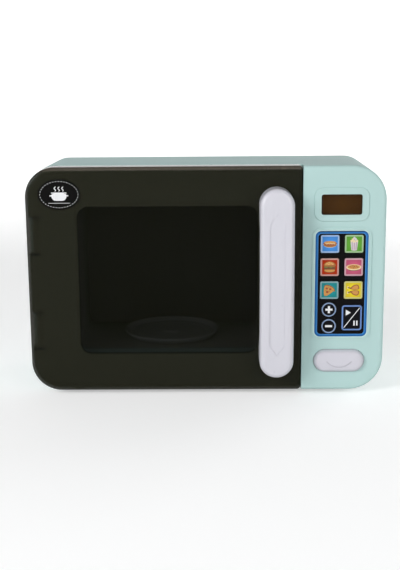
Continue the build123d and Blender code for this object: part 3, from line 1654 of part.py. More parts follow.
with BuildPart() as battery_cover_screw:
    with BuildSketch(layer(case_depth - cover_head_recess, bay_x, cover_screw_height)):
        Circle(screw_head_radius)
    extrude(amount=cover_head_sink - cover_head_recess)
    with BuildSketch(layer(case_depth - cover_head_recess, bay_x, cover_screw_height)):
        Circle(screw_radius)
    extrude(amount=cover_thickness - cover_head_recess + cover_screw_length - 2 * screw_end_gap)
    with BuildSketch(layer(case_depth, bay_x, cover_screw_height)):
        Rectangle(cross_length, cross_width)
        Rectangle(cross_width, cross_length)
    extrude(amount=cover_head_recess - cover_head_sink, mode=Mode.SUBTRACT)
battery_cover_screw.part.label = "battery_cover_screw"
export(battery_cover_screw)

with BuildPart() as battery_contacts:
    # A sprung leaf at one end of each cell and a flat plate with a nub at the other, in turn.
    for cell in range(cell_count):
        height = bay_middle + (cell - (cell_count - 1) / 2) * cell_diameter
        spring_way = 1 if cell % 2 == 0 else -1
        contact_middle = bay_front + contact_size / 2 + contact_floor_gap
        for way in (-1, 1):
            wall = bay_x + way * bay_width / 2
            with BuildSketch(level(height - contact_size / 2, wall, contact_middle)):
                with Locations((-way * contact_thickness / 2, 0)):
                    Rectangle(contact_thickness, contact_size)
                if way == spring_way:
                    with BuildLine():
                        Polyline(
                            (-way * contact_thickness / 2, -contact_size / 2),
                            (-way * contact_reach, 0),
                            (-way * contact_thickness / 2, contact_size / 2),
                            (-way * contact_thickness / 2, contact_size / 2 - leaf_root),
                            (-way * (contact_reach - leaf_thickness), 0),
                            (-way * contact_thickness / 2, -contact_size / 2 + leaf_root),
                            close=True,
                        )
                    make_face()
                else:
                    with Locations((-way * contact_thickness, 0)):
                        Rectangle(2 * contact_thickness, contact_stud)
            extrude(amount=contact_size)
battery_contacts.part.label = "battery_contacts"
export(battery_contacts)

# ------------------------------------------------------------------ power switch
with BuildPart() as power_slider:
    # Knob with a ribbed top, on a carriage behind the wall.
    knob_x = switch_x - switch_travel / 2
    carriage_depth = case_depth - switch_pad - body_gap
    with BuildSketch(layer(carriage_depth, knob_x, switch_middle)):
        Rectangle(switch_knob, switch_knob)
    extrude(amount=carriage_depth - case_depth + body_gap)
    with BuildSketch(layer(case_depth, knob_x, switch_middle)):
        with GridLocations(knob_rib_pitch, 0, knob_rib_count, 1):
            Rectangle(knob_rib_pitch / 2, switch_knob)
    extrude(amount=2 * body_gap, mode=Mode.SUBTRACT)
    with BuildSketch(layer(carriage_depth - carriage_thickness, knob_x, switch_middle)):
        Rectangle(carriage_size, carriage_size)
    extrude(amount=-carriage_thickness)
power_slider.part.label = "power_slider"
export(power_slider)

with BuildPart() as power_switch:
    # Body with a channel that the carriage runs in.
    with BuildSketch(layer(case_depth - switch_pad - switch_body_depth, switch_x, switch_middle)):
        Rectangle(switch_recess_width, switch_recess_height)
    extrude(amount=-switch_body_depth)
    with BuildSketch(layer(case_depth - switch_pad, switch_x, switch_middle)):
        Rectangle(carriage_size + switch_travel + 2 * body_gap, carriage_size + 2 * body_gap)
    extrude(amount=carriage_thickness + 2 * body_gap, mode=Mode.SUBTRACT)
    with BuildSketch(layer(case_depth - switch_pad - switch_body_depth, switch_x, switch_middle)):
        with GridLocations(switch_pin_pitch, 0, switch_pin_count, 1):
            Rectangle(switch_pin_width, switch_pin_thickness)
    extrude(amount=switch_pin_length)
power_switch.part.label = "power_switch"
export(power_switch)
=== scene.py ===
# %% [markdown]
# # A toy microwave oven, dressed for its picture
# A play-kitchen microwave is a mint-green moulded case with a smoky, see-through swing door.
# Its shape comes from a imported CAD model, which is loaded here as a fixed frame. What is added
# is what CAD leaves plain: the finish of each plastic, the prints on the keys, and the light.
# Everything is in metres, with X to the right, Y into the case and Z up.

# %% Load the frame
import json
import math

import bmesh
import bpy
from mathutils import Matrix, Vector

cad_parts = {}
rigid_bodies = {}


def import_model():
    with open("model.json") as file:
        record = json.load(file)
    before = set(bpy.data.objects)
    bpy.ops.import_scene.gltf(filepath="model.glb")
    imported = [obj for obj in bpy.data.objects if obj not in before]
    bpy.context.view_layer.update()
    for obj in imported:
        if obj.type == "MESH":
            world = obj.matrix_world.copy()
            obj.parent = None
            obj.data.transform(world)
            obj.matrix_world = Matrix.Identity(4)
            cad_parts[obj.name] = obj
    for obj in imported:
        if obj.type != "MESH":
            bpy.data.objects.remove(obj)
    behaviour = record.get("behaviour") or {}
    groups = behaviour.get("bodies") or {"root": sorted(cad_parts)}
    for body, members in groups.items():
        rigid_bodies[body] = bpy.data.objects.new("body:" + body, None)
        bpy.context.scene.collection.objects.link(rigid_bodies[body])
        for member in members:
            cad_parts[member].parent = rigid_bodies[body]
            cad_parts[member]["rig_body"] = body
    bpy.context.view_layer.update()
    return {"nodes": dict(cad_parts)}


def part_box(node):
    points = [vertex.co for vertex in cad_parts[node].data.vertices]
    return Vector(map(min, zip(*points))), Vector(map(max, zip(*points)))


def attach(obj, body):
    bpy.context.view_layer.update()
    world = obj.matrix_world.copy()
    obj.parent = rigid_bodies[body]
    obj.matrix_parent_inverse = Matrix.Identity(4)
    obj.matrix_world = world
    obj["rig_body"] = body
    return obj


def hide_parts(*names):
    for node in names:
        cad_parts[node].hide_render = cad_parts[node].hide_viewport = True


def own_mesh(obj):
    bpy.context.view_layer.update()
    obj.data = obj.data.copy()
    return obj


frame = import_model()
nodes = frame["nodes"]


# %% [markdown]
# ## Where things are
# Sizes are read from the frame, so that a print lands on its key even if the key moves.
# One small helper gives the middle and the size of a node's front, which faces -Y. Keys, display
# window and button are held by a flange behind the panel, and what shows is smaller by that
# flange. Another helper stands a flat drawing up against such a front, and a third puts an
# object into the scene.


# %% Read places from the frame
def front_of(name, flange=0.0):
    """The middle of a node's front, and the width and height that show inside its flange."""
    low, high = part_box(name)
    middle = Vector(((low.x + high.x) / 2, low.y, (low.z + high.z) / 2))
    return middle, high.x - low.x - 2 * flange, high.z - low.z - 2 * flange


def facing_front(place):
    """Stands a drawing up from the XY plane, so that it faces -Y, and moves it to this place."""
    return Matrix.Translation(place) @ Matrix.Rotation(math.pi / 2, 4, "X")


def added(name, data):
    """A new object, linked to the scene."""
    thing = bpy.data.objects.new(name, data)
    bpy.context.scene.collection.objects.link(thing)
    return thing


panel_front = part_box("keypad_overlay")[0].y
print("keypad's front at y =", round(panel_front, 4))

# %% [markdown]
# ## Shader maths that reads like maths
# A procedural material is a graph of small nodes. Writing the graph out by hand hides the idea,
# so a class wraps a socket and overloads the operators: `1 - mask` adds a Subtract node.


# %% The socket wrapper
class Value:
    """A number that varies over the surface: the output socket of a node."""

    def __init__(self, graph, socket):
        self.graph = graph
        self.socket = socket

    def math(self, operation, *others):
        return self.graph.add("ShaderNodeMath", {"operation": operation}, self, *others)

    def __add__(self, other):
        return self.math("ADD", other)

    __radd__ = __add__

    def __mul__(self, other):
        return self.math("MULTIPLY", other)

    __rmul__ = __mul__

    def __sub__(self, other):
        return self.math("SUBTRACT", other)

    def __rsub__(self, other):
        return self.graph.number(other).math("SUBTRACT", self)

    def __truediv__(self, other):
        return self.math("DIVIDE", other)

    def __neg__(self):
        return self * -1.0

    def abs(self):
        return self.math("ABSOLUTE")

    def maximum(self, other):
        return self.math("MAXIMUM", other)

    def minimum(self, other):
        return self.math("MINIMUM", other)

    def clamp(self):
        return self.maximum(0.0).minimum(1.0)

    def length_with(self, other):
        """The distance from the origin of the point (self, other)."""
        return (self * self + other * other).math("SQRT")

    def below(self, edge, softness=0.00006):
        """1 where the value is under the edge, 0 where it is over, with a soft step between."""
        return ((edge - self) / softness + 0.5).clamp()


# %% [markdown]
# ## One maker for every node
# Nearly any plastic, rubber or metal is one Principled shader, whose sockets take a constant or
# a pattern. The graph around it could be clicked together in the shader editor. A class says it
# shorter: `add` makes any node, `place` and `noise` give the coordinates and patterns that the
# finishes share, and `finish` plugs the results into the shader.


# %% The node maker
class Graph:
    """The node tree of one material."""

    def __init__(self, name):
        self.material = bpy.data.materials.new(name)
        self.material.use_nodes = True
        self.tree = self.material.node_tree
        self.shader = self.tree.nodes["Principled BSDF"]

    def put(self, socket, value):
        """Link a socket, or set its constant."""
        if isinstance(value, Value):
            self.tree.links.new(value.socket, socket)
        elif socket.type == "RGBA" and len(value) == 3:
            socket.default_value = (*value, 1.0)
        else:
            socket.default_value = value

    def add(self, kind, settings=None, *inputs, output=0, **named):
        """A node of this kind; inputs go in by order, named ones by name (spaces as _)."""
        node = self.tree.nodes.new(kind)
        for key, setting in (settings or {}).items():
            setattr(node, key, setting)
        for socket, value in zip(node.inputs, inputs):
            self.put(socket, value)
        for key, value in named.items():
            self.put(node.inputs[key.replace("_", " ")], value)
        return Value(self, node.outputs[output])

    def number(self, value):
        """A constant that can start a sum."""
        return self.add("ShaderNodeMath", {"operation": "ADD"}, value, 0.0)

    def place(self, origin=(0, 0, 0)):
        """Object coordinates measured from this point, as x, y and z in metres."""
        coords = self.add("ShaderNodeTexCoord", output=3)
        moved = self.add("ShaderNodeVectorMath", {"operation": "SUBTRACT"}, coords, origin)
        node = self.tree.nodes.new("ShaderNodeSeparateXYZ")
        self.put(node.inputs[0], moved)
        return [Value(self, socket) for socket in node.outputs]

    def noise(self, scale, detail=3.0, roughness=0.5, stretch=(1, 1, 1)):
        """Noise with this many blobs to the metre."""
        coords = self.add("ShaderNodeTexCoord", output=3)
        stretched = self.add("ShaderNodeVectorMath", {"operation": "MULTIPLY"}, coords, stretch)
        sizes = {"Vector": stretched, "Scale": scale, "Detail": detail, "Roughness": roughness}
        return self.add("ShaderNodeTexNoise", **sizes)

    def handled(self, gloss, spread):
        """Roughness near this gloss, with the faint marks that hands and cloths leave."""
        return gloss + (self.noise(130.0, detail=6.0, roughness=0.7) - 0.5) * spread

    def mix(self, mask, first, second):
        """first where the mask is 0, second where it is 1, for colours."""
        node = self.tree.nodes.new("ShaderNodeMix")
        node.data_type = "RGBA"
        self.put(node.inputs["Factor"], mask)
        self.put(node.inputs[6], first)
        self.put(node.inputs[7], second)
        return Value(self, node.outputs[2])

    def bump(self, height, distance, strength=1.0):
        """A normal for a surface that rises by height times distance."""
        sizes = {"Strength": strength, "Distance": distance, "Height": height}
        return self.add("ShaderNodeBump", **sizes)

    def finish(self, **inputs):
        """Set the shader's own sockets and hand the material over."""
        for key, value in inputs.items():
            self.put(self.shader.inputs[key.replace("_", " ")], value)
        return self.material


# %% [markdown]
# ## Colours and dressing
# A plastic's colour is matched in the screen's numbers from 0 to 255, but light adds up
# in linear numbers. One function converts them, so that a colour can be written as it looks.
# Another gives a finish to all material slots of some nodes, and prints which nodes they are.


# %% Colours, and a helper that dresses nodes
def srgb(red, green, blue):
    """A colour written as it looks on screen, 0 to 255, as the renderer needs it."""
    return tuple(
        v / 12.92 if v <= 0.04045 else ((v + 0.055) / 1.055) ** 2.4
        for v in (red / 255, green / 255, blue / 255)
    )


def scaled(color, factor):
    """The same colour, darker or lighter."""
    return tuple(min(1.0, v * factor) for v in color)


def dress(material, *names):
    """Give CAD nodes a finish."""
    for name in names:
        for slot in nodes[name].material_slots:
            slot.material = material
    print(material.name, "on", ", ".join(names))


# %% [markdown]
# ## A rounded rectangle as a distance
# The keypad, its keys, the door's window and the button are all rounded rectangles. One short
# formula says how far a point lies inside such an outline. Cut at a few distances, it gives
# borders, rims and shaded edges that stay sharp at any zoom, with no image.

# %% Distance to a rounded rectangle
def distance_inside(x, z, width, height, radius):
    """Metres from the outline of a rounded rectangle, positive inside it."""
    out_x = (x.abs() - (width / 2 - radius)).maximum(0.0)
    out_z = (z.abs() - (height / 2 - radius)).maximum(0.0)
    return radius - out_x.length_with(out_z)


# %% [markdown]
# ## Moulded plastics
# Injection-moulded plastic is never one flat colour. The pigment drifts a little through the
# melt, handling leaves faint changes of gloss, and the tool's own surface is pressed into the
# part as a grain too fine to see singly. One recipe makes most of the toy's opaque plastics, and
# its arguments say how glossy and how grainy each one is.


# %% One recipe for the opaque plastics
PIGMENT_DRIFT = 0.05
GRAIN_SCALE = 5200.0
GRAIN_DEPTH = 0.00002


def moulded_plastic(name, color, gloss, grain, specular=0.5):
    """Pigment drift, handling marks and moulding grain over a base colour."""
    g = Graph(name)
    cloud = g.noise(9.0, detail=4.0)
    flow = g.noise(45.0, detail=2.0, stretch=(1, 1, 0.25))
    dark, pale = scaled(color, 1 - PIGMENT_DRIFT), scaled(color, 1 + PIGMENT_DRIFT * 0.6)
    tone = g.mix(cloud, dark, pale)
    tone = g.mix(flow * 0.25, tone, scaled(color, 1 - PIGMENT_DRIFT * 0.5))
    height = g.noise(GRAIN_SCALE, detail=1.0) * grain + g.noise(60.0, detail=2.0) * 0.35
    return g.finish(
        Base_Color=tone,
        Roughness=g.handled(gloss, 0.16).clamp(),
        Specular_IOR_Level=specular,
        Normal=g.bump(height, GRAIN_DEPTH),
    )


MINT = srgb(184, 214, 211)
mint_plastic = moulded_plastic("mint_plastic", MINT, gloss=0.46, grain=0.7, specular=0.15)
white_plastic = moulded_plastic("white_plastic", srgb(214, 213, 221), gloss=0.30, grain=0.3)
black_plastic = moulded_plastic("black_plastic", srgb(26, 26, 27), gloss=0.38, grain=1.0)
gear_plastic = moulded_plastic("gear_plastic", srgb(233, 230, 216), gloss=0.40, grain=0.4)
gearbox_plastic = moulded_plastic("gearbox_plastic", srgb(150, 154, 154), gloss=0.45, grain=0.8)
plate_plastic = moulded_plastic("plate_plastic", srgb(214, 219, 220), gloss=0.20, grain=0.2)
dress(mint_plastic, "front_housing", "rear_housing", "battery_cover")
dress(white_plastic, "door_handle")
dress(black_plastic, "power_switch", "power_slider", "board_components", "speaker")
dress(gear_plastic, "turntable_spindle", "output_gear", "slow_gear", "fast_gear")
dress(gear_plastic, "motor_pinion", "latch_lever")
dress(gearbox_plastic, "gearbox_base", "gearbox_cover")
dress(plate_plastic, "turntable_plate")

# %% [markdown]
# ## The release button
# This white button opens the door. The groove of its smile is cut in the CAD model, and here it
# only needs painted shade, which darkens it. The face of such a button also swells a little
# towards its middle. That could be modelled, but hardly alters its outline, so a bump shades it.


# %% The button's finish
BUTTON_FLANGE = 0.0018
SMILE_HALF_WIDTH = 0.0125
SMILE_HALF_HEIGHT = 0.0070
SMILE_START = 0.0002
CROWN_FALL = 0.0016


def white_button():
    """The release button's white, with a swell, and painted shade in its smile."""
    middle, width, height = front_of("release_button", BUTTON_FLANGE)
    g = Graph("button_plastic")
    x, y, z = g.place(middle)
    on_crown = x.abs().below(SMILE_HALF_WIDTH) * z.abs().below(SMILE_HALF_HEIGHT)
    # In the smile's groove, painted shade darkens the white, and the surface is rougher.
    groove = on_crown * (1 - y.below(SMILE_START, 0.0001))
    white = g.mix(g.noise(9.0, detail=4.0), srgb(205, 204, 212), srgb(215, 213, 222))
    inside = distance_inside(x, z, width, height, height / 2)
    fall = 1 - (inside / (height / 2)).clamp()
    return g.finish(
        Base_Color=g.mix(groove * 0.35, white, srgb(150, 148, 158)),
        Roughness=(g.handled(0.30, 0.14) + groove * 0.2).clamp(),
        Normal=g.bump(-(fall * fall * fall) * CROWN_FALL, 1.0),
    )


dress(white_button(), "release_button")

# %% [markdown]
# ## The oven's lining
# The pale lining is seen through the dark door. Light comes in at its mouth only, so painted
# shade makes its colour darker towards the back, where a real oven would be too dim to see.


# %% The lining's finish
def oven_liner():
    """A pale plastic, with painted shade that darkens it from the oven's mouth to its back."""
    low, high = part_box("cavity_liner")
    g = Graph("liner_plastic")
    _, y, _ = g.place((0.0, low.y, 0.0))
    # Painted shade grows with the depth into the oven.
    depth = (y / (high.y - low.y)).clamp()
    pale = g.mix(g.noise(9.0, detail=4.0), srgb(196, 199, 192), srgb(206, 209, 203))
    return g.finish(
        Base_Color=g.mix(depth * depth, pale, srgb(100, 103, 95)),
        Roughness=g.handled(0.45, 0.16).clamp(),
        Specular_IOR_Level=0.3,
        Normal=g.bump(g.noise(GRAIN_SCALE, detail=1.0), GRAIN_DEPTH),
    )


dress(oven_liner(), "cavity_liner")

# %% [markdown]
# ## Smoky door
# The door is one moulding in tinted clear plastic. Its border is textured on the back, which
# hides the landing and hinges behind it, and only its window is polished clear, so it shows
# the dim oven. Real glass maths would bend and scatter light through two walls and cost many
# samples. Alpha does the same job here: each wall lets some of the light through, and how much
# depends on which side of the window's outline the point lies. Light and shade are painted on
# the border: it is lighter on the left, a painted highlight makes the polished rim pale along the
# top, and dark marks of painted shade show where the hinge barrels end.


# %% The door's finish
DARK_GLOSS = 0.06
# The window's outline, measured in from the door's box.
WINDOW_LEFT = 0.0460
WINDOW_RIGHT = 0.0398
WINDOW_BOTTOM = 0.0353
WINDOW_TOP = 0.0355
WINDOW_RADIUS = 0.0095
WINDOW_OPACITY = 0.62
BORDER_OPACITY = 0.82
# The hinge barrels, and the dark mark of painted shade at each of their ends.
KNUCKLE_LENGTH = 0.033
PIN_OVERHANG = 0.0034
TICK_MIDDLE = 0.0082
TICK_LENGTH = 0.0105
TICK_HALF_HEIGHT = 0.0010
# The polished rim.
DOOR_RADIUS = 0.027
RIM_WIDTH = 0.0032
RIM_SOFTNESS = 0.0016


def knuckle_ends():
    """Heights where the two hinge barrels end, from the pins that pass through them."""
    low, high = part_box("hinge_pins")
    first, last = low.z + PIN_OVERHANG, high.z - PIN_OVERHANG
    return [first, first + KNUCKLE_LENGTH, last - KNUCKLE_LENGTH, last]


def door_rim(x, z, low, high):
    """1 on the door's polished rim, with x from its right edge and z from its middle."""
    # An outline twice as wide as the door leaves the right edge, at the panel, without a rim.
    inside = distance_inside(x, z, 2 * (high.x - low.x), high.z - low.z, DOOR_RADIUS)
    return inside.below(RIM_WIDTH, RIM_SOFTNESS)


def door_plastic():
    """The smoky door: a nearly opaque border, and a window that light passes."""
    low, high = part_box("door_panel")
    width = high.x - low.x - WINDOW_LEFT - WINDOW_RIGHT
    height = high.z - low.z - WINDOW_BOTTOM - WINDOW_TOP
    middle = (low.x + WINDOW_LEFT + width / 2, 0.0, low.z + WINDOW_BOTTOM + height / 2)
    g = Graph("smoky_door")
    x, _, z = g.place(middle)
    inside = distance_inside(x, z, width, height, WINDOW_RADIUS)
    border = inside.below(-0.0002, 0.0012)
    flow = g.noise(26.0, detail=3.0, stretch=(1, 1, 0.3))
    clear = g.mix(flow, (0.0026, 0.0029, 0.0006), (0.0040, 0.0043, 0.0012))

    # The border's olive is a little lighter on the left: painted light.
    across = (x / width * 0.5 + 0.5).clamp()
    lit = g.mix(across, (0.0195, 0.0200, 0.0115), (0.0180, 0.0184, 0.0108))
    olive = g.mix(flow * 0.5, lit, (0.0200, 0.0202, 0.0126))

    # Dark marks of painted shade stand for the gaps at the ends of the hinge barrels behind it.
    barrels = g.number(0.0)
    for end in knuckle_ends():
        tick = (z - (end - middle[2])).abs().below(TICK_HALF_HEIGHT, 0.0010)
        barrels = barrels.maximum(tick)
    from_edge = (x - (low.x + TICK_MIDDLE - middle[0])).abs().below(TICK_LENGTH / 2, 0.0015)
    olive = g.mix(barrels * from_edge, olive, (0.006, 0.006, 0.004))

    # The rim is glossy, and along the top a painted highlight makes it pale.
    rim = door_rim(x - (high.x - middle[0]), z - ((low.z + high.z) / 2 - middle[2]), low, high)
    top = ((high.z - middle[2]) - z).below(RIM_WIDTH, RIM_SOFTNESS)
    top_rim_highlight = (rim * top * (flow * 0.6 + 0.5)).clamp()
    olive = g.mix(top_rim_highlight, olive, srgb(96, 89, 79))

    wipes = g.noise(70.0, detail=5.0, roughness=0.7, stretch=(0.25, 1, 1))
    texture = g.noise(4200.0, detail=1.0) * border + g.noise(14.0, detail=1.0)
    opacity = WINDOW_OPACITY + border * (BORDER_OPACITY - WINDOW_OPACITY)
    return g.finish(
        Base_Color=g.mix(border, clear, olive),
        Roughness=(0.10 + (wipes - 0.5) * 0.06 + border * 0.05).clamp(),
        Specular_IOR_Level=DARK_GLOSS,
        Coat_Weight=rim * (top * 0.85 + 0.15),
        Coat_Roughness=0.12,
        Alpha=(opacity + (flow - 0.5) * 0.03).clamp(),
        Normal=g.bump(texture, 0.00012, 0.5),
    )


dress(door_plastic(), "door_panel")

# %% [markdown]
# ## The display's window
# The display sits behind a small brown window. Painted shade darkens it round its edge, and it
# is lighter in its middle than towards its ends, a painted glow. The distance from its outline
# gives the first, the distance from its middle the second.

# %% The display window's finish
LENS_FLANGE = 0.0016
LENS_RADIUS = 0.002
LENS_EDGE = 0.0016


def display_plastic():
    """The display's brown window, with painted shade round its edge and a painted glow in its
    middle.
    """
    middle, width, height = front_of("display_lens", LENS_FLANGE)
    g = Graph("display_smoke")
    x, _, z = g.place(middle)
    # Painted shade round the edge, and a painted glow in the middle.
    edge = (distance_inside(x, z, width, height, LENS_RADIUS) / LENS_EDGE).clamp()
    glow = (x.length_with(z * 1.6) / (0.62 * width)).clamp()
    brown = g.mix(glow, srgb(78, 50, 20), srgb(58, 36, 13))
    wipes = g.noise(90.0, detail=5.0, roughness=0.7)
    return g.finish(
        Base_Color=g.mix(edge, srgb(30, 18, 10), brown),
        Roughness=0.14 + (wipes - 0.5) * 0.08,
        Specular_IOR_Level=DARK_GLOSS,
        Alpha=0.85,
        Normal=g.bump(wipes, 0.00001),
    )


dress(display_plastic(), "display_lens")

# %% [markdown]
# ## The lamp
# A frosted lens in the oven's ceiling covers a small clear LED. The two differ only in tint,
# opacity and gloss, so one recipe makes both.


# %% Clear plastics of the lamp
def smoked_plastic(name, tint, opacity, gloss):
    """Clear plastic with a tint, faint flow lines, and wipe marks that only show in its gloss."""
    g = Graph(name)
    flow = g.noise(26.0, detail=3.0, stretch=(1, 1, 0.3))
    tone = g.mix(flow, scaled(tint, 1 - PIGMENT_DRIFT), scaled(tint, 1 + PIGMENT_DRIFT))
    wipes = g.noise(70.0, detail=5.0, roughness=0.7, stretch=(0.25, 1, 1))
    return g.finish(
        Base_Color=tone,
        Roughness=(gloss + (wipes - 0.5) * 0.07).clamp(),
        Alpha=(opacity + (flow - 0.5) * 0.04).clamp(),
        Normal=g.bump(g.noise(14.0, detail=1.0), 0.00025, 0.6),
    )


dress(smoked_plastic("lamp_frost", srgb(236, 230, 208), 0.80, 0.45), "lamp_lens")
dress(smoked_plastic("led_clear", srgb(240, 232, 196), 0.65, 0.15), "lamp_led")

# %% [markdown]
# ## Rubber and metal
# Zinc plating shows fine turning marks and small cloudy patches. Rubber is matt and picks up
# dust in its pores. Both are noise at two scales, one for the colour and one for the surface.


# %% Metal and rubber finishes
def plated_metal(name, color, gloss=0.28):
    """Plating with small cloudy patches and fine turning marks."""
    g = Graph(name)
    cloud = g.noise(220.0, detail=4.0)
    lines = g.noise(900.0, detail=2.0, stretch=(1, 12, 1))
    return g.finish(
        Base_Color=g.mix(cloud, scaled(color, 0.82), scaled(color, 1.08)),
        Metallic=1.0,
        Roughness=(gloss + (cloud - 0.5) * 0.2).clamp(),
        Normal=g.bump(lines, 0.00001),
    )


def soft_rubber(name, color):
    """Matt rubber, a little paler where dust sits in its pores."""
    g = Graph(name)
    pores = g.noise(2600.0, detail=3.0)
    dust = g.noise(160.0, detail=5.0, roughness=0.7)
    return g.finish(
        Base_Color=g.mix(dust * dust, color, scaled(color, 2.4)),
        Roughness=(0.72 + (dust - 0.5) * 0.2).clamp(),
        Normal=g.bump(pores, 0.00004),
    )


steel = plated_metal("zinc_steel", srgb(198, 200, 204))
nickel = plated_metal("nickel", srgb(214, 210, 200), gloss=0.22)
rubber = soft_rubber("foot_rubber", srgb(32, 32, 34))
silicone = soft_rubber("grey_silicone", srgb(150, 152, 154))
dress(steel, "case_screws", "liner_screws", "hinge_pins", "board_screws", "lever_pin")
dress(steel, "gearbox_screws", "gear_pins", "handle_screws", "motor_shaft", "battery_cover_screw")
dress(nickel, "battery_contacts", "motor", "latch_spring")
dress(rubber, "feet")
dress(silicone, "key_membrane")

# %% [markdown]
# ## Circuit boards
# A board is green lacquer over copper tracks, which only a cutaway would show. An image could
# carry them, but stripes on a grid, with noise picking which way they run, make paths that turn
# in steps at any size.

# %% The boards' finish
TRACK_GRID = 0.0032


def circuit_board(name):
    """Green lacquer over copper tracks, which run in steps like the paths between bricks."""
    g = Graph(name)
    x, _, z = g.place()
    across = (x / TRACK_GRID).math("FRACT") - 0.5
    along = (z / TRACK_GRID).math("FRACT") - 0.5
    picked = g.noise(150.0, detail=0.0).below(0.5, 0.02)
    track = (across.abs() * picked + along.abs() * (1 - picked)).below(0.12, 0.03)
    return g.finish(
        Base_Color=g.mix(track, srgb(24, 84, 44), srgb(46, 128, 66)),
        Roughness=0.32 + track * 0.1,
        Normal=g.bump(track, 0.00003),
    )


dress(circuit_board("board_green"), "control_board", "lamp_board")

# %% [markdown]
# ## Prints on the keypad
# The keypad is a thin film printed black with a blue border. It could be cut from several flat
# pieces, but a real film is one sheet with ink on it, so one material prints it: masks at a few
# distances from its outline give the border, the bead and the shade of the ring that holds it.
# The ring's shade is painted, and the pale mint bead is painted lighter than the mint as a
# highlight.


# %% The keypad's film
FILM_BLACK = srgb(12, 11, 12)
FILM_RADIUS = 0.006
FIELD_RADIUS = 0.003
BEAD_WIDTH = 0.0009
SIDE_BORDER = 0.0034
END_BORDER = 0.0033
LINE_WIDTH = 0.0003
RING_SHADE = 0.0009


def keypad_film():
    """A black field, a blue border with its holder's painted shade at the top, and a pale mint
    edge painted as a highlight.
    """
    middle, width, height = front_of("keypad_overlay")
    g = Graph("keypad_film")
    x, _, z = g.place(middle)
    inside = distance_inside(x, z, width, height, FILM_RADIUS)
    field_width, field_height = width - 2 * SIDE_BORDER, height - 2 * END_BORDER
    in_field = distance_inside(x, z, field_width, field_height, FIELD_RADIUS)

    # A black field in a blue border, with a thin paler line between them.
    in_border = in_field.below(0.0)
    blend = ((inside - BEAD_WIDTH) / (END_BORDER - BEAD_WIDTH)).clamp()
    blue = g.mix(blend, srgb(20, 80, 140), srgb(60, 130, 200))
    field = g.mix(g.noise(40.0), scaled(FILM_BLACK, 0.8), scaled(FILM_BLACK, 1.3))
    tone = g.mix(in_border, field, blue)
    line = in_border * (1 - in_field.below(-LINE_WIDTH))
    tone = g.mix(line * 0.3, tone, srgb(140, 180, 220))

    # The ring's painted shade along the top, and round the edge a pale mint bead, painted paler
    # than the mint as a highlight.
    under_ring = ((height / 2 - BEAD_WIDTH) - z).below(RING_SHADE, 0.0003)
    tone = g.mix(under_ring * 0.7, tone, FILM_BLACK)
    tone = g.mix(inside.below(BEAD_WIDTH, 0.0002), tone, srgb(208, 234, 231))
    wipes = g.noise(120.0, detail=5.0, roughness=0.7)
    return g.finish(
        Base_Color=tone,
        Roughness=0.20 + (wipes - 0.5) * 0.12,
        Specular_IOR_Level=DARK_GLOSS,
        Normal=g.bump(g.noise(1500.0, detail=1.0), 0.00001),
    )


dress(keypad_film(), "keypad_overlay")

# %% [markdown]
# ## The keys
# Each key is printed like the film: a black margin, a pale rim, and a field that darkens softly
# towards its corners, as if a light shone through its middle. A table gives each key its colours,
# and the last three keys their own radius, rim and shade.

# %% A print for each key
KEY_FLANGE = 0.0006
KEY_MARGIN = 0.0004


def key_finish(name, field, rim, radius=0.002, rim_width=0.0014, shade=0.65):
    """A key's print: black margin, pale rim, and a field with a painted glow, darker towards its
    corners.
    """
    middle, width, height = front_of(name, KEY_FLANGE)
    g = Graph(name + "_print")
    x, _, z = g.place(middle)
    if radius is None:
        radius = min(width, height) / 2
    inside = distance_inside(x, z, width, height, radius)
    # A painted glow: the field is lighter in its middle and darker towards its corners.
    glow = (x.length_with(z) / (0.7 * width)).clamp()
    tone = g.mix(glow, scaled(field, 1.3), scaled(field, shade))
    in_rim = inside.below(rim_width + KEY_MARGIN, 0.00025)
    tone = g.mix(in_rim, tone, rim)
    tone = g.mix(inside.below(KEY_MARGIN, 0.0002), tone, FILM_BLACK)
    wipes = g.noise(240.0, detail=4.0)
    return g.finish(
        Base_Color=tone,
        Roughness=0.20 + (wipes - 0.5) * 0.14,
        Specular_IOR_Level=DARK_GLOSS,
        Normal=g.bump(wipes, 0.00001),
    )


NIGHT = srgb(12, 12, 16)
key_prints = {
    "hot_dog_key": (srgb(74, 140, 214), srgb(158, 184, 218)),
    "popcorn_key": (srgb(96, 160, 58), srgb(162, 192, 148)),
    "burger_key": (srgb(176, 52, 24), srgb(196, 154, 146)),
    "pie_key": (srgb(190, 88, 116), srgb(200, 160, 170)),
    "pizza_key": (srgb(40, 138, 142), srgb(134, 166, 170)),
    "chicken_key": (srgb(222, 200, 46), srgb(202, 196, 128)),
    "plus_key": (NIGHT, srgb(140, 160, 192), None, 0.0011, 0.9),
    "minus_key": (NIGHT, srgb(140, 160, 192), None, 0.0011, 0.9),
    "play_key": (NIGHT, srgb(112, 142, 198), 0.003, 0.0013, 0.9),
}
for key_name, look in key_prints.items():
    dress(key_finish(key_name, *look), key_name)

# %% [markdown]
# ## Little pictures in ink
# Each food key carries a simple picture, built from ovals, smooth lines through a few points
# and strokes of even width. They could be drawn by hand in a curve editor, but functions that
# return points are easy to change and to repeat.


# %% Outlines, in millimetres from the middle of the key
OVAL_STEPS = 40


def oval(x, z, width, height, turn=0.0):
    """Points of an ellipse."""
    cos_t, sin_t = math.cos(turn), math.sin(turn)
    points = []
    for step in range(OVAL_STEPS):
        angle = math.tau * step / OVAL_STEPS
        u, v = width / 2 * math.cos(angle), height / 2 * math.sin(angle)
        points.append((x + u * cos_t - v * sin_t, z + u * sin_t + v * cos_t))
    return points


